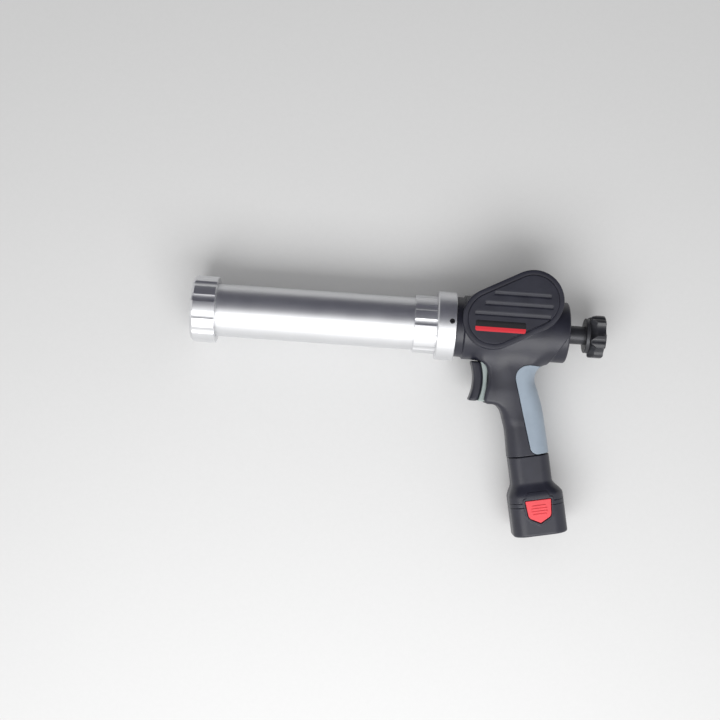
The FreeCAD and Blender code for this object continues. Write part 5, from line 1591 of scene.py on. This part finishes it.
    def _openings(self, x: Array, y: Array, z: Array) -> Array:
        """Distance to the trigger's pocket, its stem's passage, the rod's bore and the screw heads' wells."""
        trigger = Span.of("trigger")
        block = Span.of("mounting_ring").high[0] + self.block_setback
        low, high = trigger.low[1] - self.trigger_gap, trigger.high[1] + self.trigger_gap
        middle = (low + high) / 2
        pocket = np.maximum(np.abs(y - middle) - (high - low) / 2, np.abs(z) - self.pocket_half)
        pocket = np.maximum(pocket, np.maximum(trigger.low[0] - x, x - block - self.pocket_depth))
        passage = np.maximum(np.maximum(np.abs(y - middle) - self.stem_rise, np.abs(z) - self.stem_half),
                             np.maximum(block - x, x - trigger.high[0] - self.stem_reach))
        bore = np.hypot(y, z) - self.bush_radius
        well = self.screw.head + self.head_gap
        wells = [np.maximum(np.hypot(x - px, y - py) - well, z + self.screw_seat)
                 for px, py in self.screw_places()]
        return np.minimum(np.minimum(pocket, passage), np.minimum(bore, np.minimum.reduce(wells)))

    def _grip_side(self, x: Array, y: Array) -> tuple[Array, Array]:
        """Distances to the grip insert's outline seen from the side, and to its foot run on past the rim."""
        u, v = HANDLE.local(x, y)
        size = np.array([self.depth, HANDLE.drop])
        bottom = self.grip_low_share * HANDLE.drop
        slant = np.maximum(u - self.grip_slant_share * self.depth, 0)
        top = self.grip_top_share * HANDLE.drop - self.grip_slope * slant
        bend, foot = np.array(self.grip_bend_shares) * size, np.array(self.grip_foot_shares) * size
        along = (bend - foot) / np.linalg.norm(bend - foot)
        left = -((u - foot[0]) * along[1] - (v - foot[1]) * along[0])
        side = rounded_most(rounded_most(left, v - top, self.grip_round), bottom - v, self.foot_round)
        return side, np.maximum(left, v) + self.foot_round

    def _below_skin(self, outer: Array, x: Array, y: Array, z: Array) -> Array:
        """Distance below the grip's skin, which has no part across the handle's open end."""
        return np.maximum(-outer, -self._handle(x, y, z, self.skin) + self.skin) - self.skin

    def half_field(self, side: Side) -> Field:
        """Field of one half.

        Args:
            side: the half's side.

        Returns:
            The field of distances in the tool's axes.
        """
        def field(x: Array, y: Array, z: Array) -> Array:
            """Outside less hollow, openings and grip pocket, on one side of the seam."""
            outer = self.outer(x, y, z)
            deep = self._below_skin(outer, x, y, z) - self.pocket_slack
            pocket = np.maximum(deep, np.minimum(*self._grip_side(x, y)) - self.grip_gap)
            shell = soft_most(outer, -pocket, self.inner_blend)
            shell = soft_most(shell, -self._hollow(x, y, z), self.inner_blend)
            shell = soft_most(shell, -self._openings(x, y, z), self.opening_blend)
            return soft_most(shell, self.seam_half - side.value * z, self.seam_blend)

        return field

    def grip_field(self, x: Array, y: Array, z: Array) -> Array:
        """Distance to the grip insert: a skin over the handle inside the insert's outline."""
        outer = self.outer(x, y, z)
        skin = np.maximum(outer - self.grip_proud, self._below_skin(outer, x, y, z))
        return rounded_most(skin, self._grip_side(x, y)[0], self.grip_edge)

    def build(self) -> None:
        """Make both halves, the grip insert and the screws of the right side."""
        box = Span.of("housing_left")
        low, high = box.low - self.margin, box.high + self.margin
        plan = [even_lines(low[0], high[0], self.cell), even_lines(low[1], high[1], self.cell)]
        rise = np.concatenate([self.seam_rows, even_lines(self.first_row, high[2], self.cell)])
        for side in Side:
            lines = [*plan, rise if side is Side.LEFT else -rise[::-1]]
            shell, normals = surface_net(self.half_field(side), lines)
            piece = shell.piece(f"housing_{side.word}_look", "body", "black_plastic", normals=normals)
            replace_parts(piece, f"housing_{side.word}")
        grip = Span.of("grip_insert")
        lines = [even_lines(a - self.grip_margin, b + self.grip_margin, self.grip_cell)
                 for a, b in zip(grip.low, grip.high)]
        shell, normals = surface_net(self.grip_field, lines)
        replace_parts(shell.piece("grip_insert_look", "body", "grip_rubber", normals=normals), "grip_insert")
        down = turn_onto((0, 0, -1))
        screws = [self.screw.shell().moved(down, np.array([x, y, -self.screw_seat - self.screw.height]))
                  for x, y in self.screw_places()]
        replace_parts(gathered(screws).piece("case_screws_look", "body", "black_screw"), "case_screws")


@dataclass(frozen=True)
class BatteryPack:
    """Slide-in battery with its base cap and two ribbed release buttons, made in the handle's axes."""

    stick_half: tuple[float, float] = (14.5, 13.0)
    stick_round: float = 6.0
    stick_top: float = 52.0
    stick_foot: float = -20.0
    stick_edge: float = 1.5
    neck_half: tuple[float, float] = (20.8, 19.7)
    neck_round: float = 12.0
    neck_top: float = -0.6
    neck_edge: float = 0.6
    flare: tuple[float, float] = (-27.0, -42.0)
    base_half: tuple[float, float] = (28.0, 23.5)
    base_round: float = 15.0
    base_shift: float = 2.0
    base_low: float = -82.2
    base_edge: float = 2.4
    seam: float = -51.7
    upper_line: float = -47.2
    groove: float = 0.25
    line_half: float = 0.28
    seam_gap: float = 0.04
    seam_blend: float = 0.25
    button_half: float = 13.3
    button_top: float = -45.3
    button_height: float = 23.6
    side_share: float = 0.87
    shoulder_share: float = 0.74
    shield_round: float = 2.2
    shield_edge: float = 1.0
    button_proud: float = 1.0
    button_thick: float = 4.4
    button_edge: float = 0.7
    travel: float = 2.5
    travel_gap: float = 0.3
    gap: float = 0.5
    pocket_blend: float = 0.6
    ribs: int = 4
    rib_pitch: float = 2.9
    rib_reach: float = 7.6
    rib_rise: float = 0.7
    rib_half: float = 0.75
    rib_drop: float = 6.0
    rib_edge: float = 0.3
    rib_blend: float = 0.35
    button_cells: Colour = (0.4, 0.4, 0.35)
    margin: float = 0.6
    tongue: tuple[float, float, float, float] = (-37.0, -45.0, 9.6, 13.4)
    tongue_round: float = 1.2
    plate_margin: float = 2.6
    plate_rise: float = 0.55
    plate_edge: float = 0.3
    plate_from: tuple[float, float] = (12.0, 15.0)
    line_stop: float = 0.4
    screws: tuple[tuple[float, float], ...] = ((-0.388, 0.0), (0.37, 0.287), (0.37, -0.287))
    screw: Screw = Screw(3.0, 2.5, 1.5, 14.0)
    head_gap: float = 0.3
    head_sink: float = 0.2
    well_blend: float = 0.4
    cell: float = 0.75
    side_margin: float = 1.1
    front_margin: float = 0.3
    rear_margin: float = 2.3
    end_margin: float = 1.0

    def _form(self, u: Array, v: Array, z: Array) -> Array:
        """Distance to the outside: neck, flare, base and rounded foot."""
        share = ease(-v, -self.flare[0], -self.flare[1])
        half_u = self.neck_half[0] + (self.base_half[0] - self.neck_half[0]) * share
        half_z = self.neck_half[1] + (self.base_half[1] - self.neck_half[1]) * share
        corner = self.neck_round + (self.base_round - self.neck_round) * share
        side = bar_field(u - self.base_shift * share, z, half_u, half_z, corner)
        side = rounded_most(side, self.base_low - v, self.base_edge)
        return rounded_most(side, v - self.neck_top, self.neck_edge)

    def _shield(self, u: Array, v: Array) -> Array:
        """Distance to the button's outline: a shield that narrows a little and ends in a blunt point."""
        low = self.button_top - self.button_height
        shoulder = self.button_top - self.button_height * self.shoulder_share
        half, side = self.button_half, self.button_half * self.side_share
        across = np.abs(u - self.base_shift)
        lean = math.atan2(half - side, self.button_top - shoulder)
        flank = (across - half) * math.cos(lean) + (self.button_top - v) * math.sin(lean)
        point = math.atan2(shoulder - low, side)
        foot = across * math.sin(point) + (low - v) * math.cos(point)
        sides = rounded_most(flank, foot, self.shield_round)
        return rounded_most(sides, v - self.button_top, self.shield_edge)

    def _shell_field(self, u: Array, v: Array, z: Array) -> Array:
        """Outside with a raised plate round each button, less the buttons' pockets and the two lines."""
        form = self._form(u, v, z)
        shield = self._shield(u, v)
        floor = self.base_half[1] + self.button_proud - self.button_thick - self.travel - self.travel_gap
        top, low, narrow, wide = self.tongue
        half = narrow + (wide - narrow) * np.clip((top - v) / (top - low), 0, 1)
        across = np.abs(u - self.base_shift) - half
        tongue = rounded_most(across, np.maximum(v - top, low - v), self.tongue_round)
        plate = np.minimum(shield - self.plate_margin, tongue)
        raised = ease(-plate, -self.plate_edge, self.plate_edge) * ease(np.abs(z), *self.plate_from)
        pocket = np.maximum(shield - self.gap, floor - np.abs(z))
        body = soft_most(form - self.plate_rise * raised, -pocket, self.pocket_blend)
        rows = [np.maximum(np.abs(v - level) - self.line_half, -form - self.groove)
                for level in (self.seam, self.upper_line)]
        return soft_most(body, -np.maximum(np.minimum(*rows), self.line_stop - plate), self.seam_blend)

    def build(self) -> None:
        """Make the shell, the base cap, both buttons and the base screws."""
        turn, centre = HANDLE.turn, HANDLE.centre
        deep, aside = self.base_half[0], self.base_half[1] + self.side_margin
        sides = even_lines(-aside, aside, self.cell)
        across = even_lines(-deep - self.front_margin, deep + self.rear_margin, self.cell)

        def upper(u: Array, v: Array, z: Array) -> Array:
            """Everything above the seam, with the stick."""
            stick = bar_field(u, z, self.stick_half[0], self.stick_half[1], self.stick_round)
            stick = rounded_most(np.maximum(stick, self.stick_foot - v), v - self.stick_top, self.stick_edge)
            return soft_most(np.minimum(self._shell_field(u, v, z), stick),
                             self.seam + self.seam_gap - v, self.seam_blend)

        def lower(u: Array, v: Array, z: Array) -> Array:
            """Everything below the seam, with the screws' wells."""
            depth = v - self.base_low - self.screw.height
            well = self.screw.head + self.head_gap
            wells = [np.maximum(np.hypot(u - su, z - sz) - well, depth) for su, sz in self._screw_places()]
            body = soft_most(self._shell_field(u, v, z), v - self.seam + self.seam_gap, self.seam_blend)
            return soft_most(body, -np.minimum.reduce(wells), self.well_blend)

        rise = even_lines(self.seam - self.margin, self.stick_top + self.end_margin, self.cell)
        fall = even_lines(self.base_low - self.end_margin, self.seam + self.margin, self.cell)
        for name, field, rows in (("battery_shell", upper, rise), ("battery_base_cap", lower, fall)):
            shell, normals = surface_net(field, [across, rows, sides])
            shell = shell.moved(turn, centre)
            piece = shell.piece(f"{name}_look", "battery", "black_plastic", normals=normals @ turn.T)
            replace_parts(piece, name)
        self._buttons(turn, centre)
        down = turn_onto((0, -1, 0))
        screw, level = self.screw.shell(), self.base_low + self.head_sink
        heads = [screw.moved(down, np.array([u, level, z])).moved(turn, centre)
                 for u, z in self._screw_places()]
        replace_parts(gathered(heads).piece("base_screws_look", "battery", "black_screw"), "base_screws")

    def _screw_places(self) -> Array:
        """Places of the base screws, as rows of u and z."""
        size = 2 * np.array(self.base_half)
        return np.array(self.screws) * size + np.array([self.base_shift, 0])

    def _buttons(self, turn: Array, centre: Array) -> None:
        """Red shields with raised ribs across their upper half."""
        root = self.base_half[1] + self.button_proud - self.button_thick
        face = self.base_half[1] + self.button_proud - self.rib_rise
        first = self.button_top - self.rib_drop
        middle = first - self.rib_pitch * (self.ribs - 1) / 2

        def field(u: Array, v: Array, z: Array) -> Array:
            """Shield plate with rounded edges, and ribs with rounded ends."""
            plate = rounded_most(self._shield(u, v), np.maximum(z - face, root - z), self.button_edge)
            row = np.clip(np.round((first - v) / self.rib_pitch), 0, self.ribs - 1)
            half = np.sqrt(self.rib_reach ** 2 - (first - row * self.rib_pitch - middle) ** 2)
            along = np.maximum(np.abs(u - self.base_shift) - half, 0)
            down, rise = v - first + row * self.rib_pitch, np.maximum(z - face, 0)
            rib = np.sqrt(along ** 2 + down ** 2 + rise ** 2) - self.rib_half
            rib = rounded_most(rib, z - face - self.rib_rise, self.rib_edge)
            return soft_least(plate, rib, self.rib_blend)

        bounds = ((self.base_shift - self.button_half, self.base_shift + self.button_half),
                  (self.button_top - self.button_height, self.button_top), (root, face + self.rib_rise))
        lines = [even_lines(a - self.margin, b + self.margin, cell)
                 for (a, b), cell in zip(bounds, self.button_cells)]
        shell, normals = surface_net(field, lines)
        for side in Side:
            flip = np.array([1, 1, side.value])
            facing = shell if side is Side.LEFT else shell.mirrored()
            facing = facing.moved(turn, centre)
            piece = facing.piece(f"release_button_{side.word}_look", f"button_{side.word}", "red_plastic",
                                 normals=(normals * flip) @ turn.T)
            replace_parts(piece, f"release_button_{side.word}")


class InnerWorks:
    """Pieces that keep their CAD form: rack, gears, motor, electrics, cells and small hardware."""

    def build(self) -> None:
        """Give every CAD node that no piece replaces the finish of its slot."""
        for row in frame["record"]["subparts"]:
            piece = frame["nodes"][row["node"]]
            if not piece.hide_render:
                WARDROBE.dress(piece, row["material_slot"])


@dataclass(frozen=True)
class Lamp:
    """A soft rectangular lamp that faces a point on the floor."""

    name: str
    place: Colour
    size: tuple[float, float]
    power: float
    target: Colour = (0.2, -0.03, 0.0)

    def build(self) -> None:
        """Hang the lamp."""
        data = bpy.data.lights.new(self.name, "AREA")
        data.shape = "RECTANGLE"
        data.size, data.size_y = self.size
        data.energy = self.power
        lamp = bpy.data.objects.new(self.name, data)
        lamp.location = self.place
        lamp.rotation_mode = "QUATERNION"
        lamp.rotation_quaternion = (Vector(self.target) - lamp.location).to_track_quat("-Z", "Y")
        bpy.context.scene.collection.objects.link(lamp)


@dataclass(frozen=True)
class Studio:
    """Pale floor, plain world, one soft lamp, a dark panel for reflections and a camera above the tool."""

    eye: Colour = (0.1762, -0.0416, 1.25)
    roll: float = 4.05
    field: float = 33.34
    floor_size: float = 12.0
    floor_gap: float = 0.0005
    floor_speck: float = 4.0
    floor_detail: float = 3.0
    floor_paling: float = 1.03
    dull: float = 0.9
    floor_colour: Colour = (0.78, 0.78, 0.78)
    floor_fade: tuple[float, float] = (450.0, 1600.0)
    ambient: float = 0.46
    flag_colour: Colour = (0.07, 0.07, 0.10)
    flag_foot: tuple[float, float] = (0.80, -0.04)
    flag_top: tuple[float, float] = (0.06, 1.15)
    flag_reach: float = 1.6
    lamps: tuple[Lamp, ...] = (
        Lamp("key", (0.2, -0.77, 0.92), (1.5, 0.8), 12.5),
    )

    def build(self) -> None:
        """Set up everything round the tool."""
        self._floor()
        self._flag()
        self._world()
        for lamp in self.lamps:
            lamp.build()
        data = bpy.data.cameras.new("camera")
        data.sensor_fit = "HORIZONTAL"
        data.angle = math.radians(self.field)
        camera = bpy.data.objects.new("camera", data)
        camera.location = self.eye
        camera.rotation_euler = (0.0, 0.0, math.radians(self.roll))
        bpy.context.scene.collection.objects.link(camera)
        bpy.context.scene.camera = camera
        bpy.context.scene.view_settings.view_transform = "Standard"

    @staticmethod
    def _sheet(name: str, corners: Sequence[Colour], painter: Painter) -> bpy.types.Object:
        """Flat sheet of the stage.

        Args:
            name: the sheet's name.
            corners: its four corners in metres.
            painter: painter of its material.

        Returns:
            The sheet.
        """
        mesh = bpy.data.meshes.new(name)
        mesh.from_pydata(corners, [], [(0, 1, 2, 3)])
        mesh.materials.append(painter.material)
        sheet = bpy.data.objects.new(name, mesh)
        bpy.context.scene.collection.objects.link(sheet)
        return sheet

    def _floor(self) -> None:
        """Matte floor just under the tool, which passes into plain white far from it.

        The white's share is ease(r, near, far) for the distance r from the tool, and it shows to the camera,
        to gloss and to glass.
        """
        half, level = self.floor_size / 2, CAD_BOX[0][2] - self.floor_gap
        corners = [(-half, -half, level), (half, -half, level), (half, half, level), (-half, half, level)]
        painter = Painter("floor")
        speck = painter.noise(self.floor_speck, self.floor_detail)
        pale = toned(self.floor_colour, self.floor_paling)
        painter.set(base_color=painter.blend(speck, self.floor_colour, pale), roughness=self.dull,
                    specular_ior_level=0.0)
        along, across, _ = painter.axes()
        along = along - self.eye[0] / MM
        far = ((along * along + across * across) ** 0.5).ease(*self.floor_fade)
        camera, gloss, glass = (painter.node("ShaderNodeLightPath", {}, {}, f"Is {ray} Ray")
                                for ray in ("Camera", "Glossy", "Transmission"))
        share = far * (camera + gloss + glass)
        lit = Value(painter, painter.shader.outputs[0])
        white = painter.node("ShaderNodeEmission", {}, {"Color": (1.0, 1.0, 1.0)})
        mixed = painter.node("ShaderNodeMixShader", {}, {0: share, 1: lit, 2: white})
        painter.feed(painter.tree.nodes["Material Output"].inputs["Surface"], mixed)
        self._sheet("floor", corners, painter)

    def _flag(self) -> None:
        """Dull grey panel that leans over from beyond the barrel, so that metal shows a darker side."""
        (foot, ground), (top, height), reach = self.flag_foot, self.flag_top, self.flag_reach
        corners = [(-reach, foot, ground), (reach, foot, ground), (reach, top, height), (-reach, top, height)]
        painter = Painter("flag")
        painter.set(base_color=self.flag_colour, roughness=self.dull)
        flag = self._sheet("flag", corners, painter)
        flag.visible_camera = flag.visible_diffuse = flag.visible_shadow = False

    def _world(self) -> None:
        """White where the camera, a gloss or glass sees it, and a plain grey light elsewhere."""
        world = bpy.data.worlds.new("studio")
        world.use_nodes = True
        tree = world.node_tree
        path = tree.nodes.new("ShaderNodeLightPath")
        shown = path.outputs["Is Camera Ray"]
        for ray in ("Is Transmission Ray", "Is Glossy Ray"):
            most = tree.nodes.new("ShaderNodeMath")
            most.operation = "MAXIMUM"
            tree.links.new(shown, most.inputs[0])
            tree.links.new(path.outputs[ray], most.inputs[1])
            shown = most.outputs[0]
        strength = tree.nodes.new("ShaderNodeMapRange")
        strength.inputs["To Min"].default_value = self.ambient
        tree.links.new(shown, strength.inputs["Value"])
        back = tree.nodes["Background"]
        back.inputs["Color"].default_value = (1.0, 1.0, 1.0, 1.0)
        tree.links.new(strength.outputs["Result"], back.inputs["Strength"])
        bpy.context.scene.world = world


def main() -> None:
    """Build the tool's looks, then the studio round it."""
    logging.basicConfig(level=logging.INFO)
    groups = (Barrel, PushRod, GearCovers, TriggerGroup, Housing, BatteryPack, InnerWorks, Studio)
    for group in groups:
        group().build()


if __name__ == "__main__":
    main()
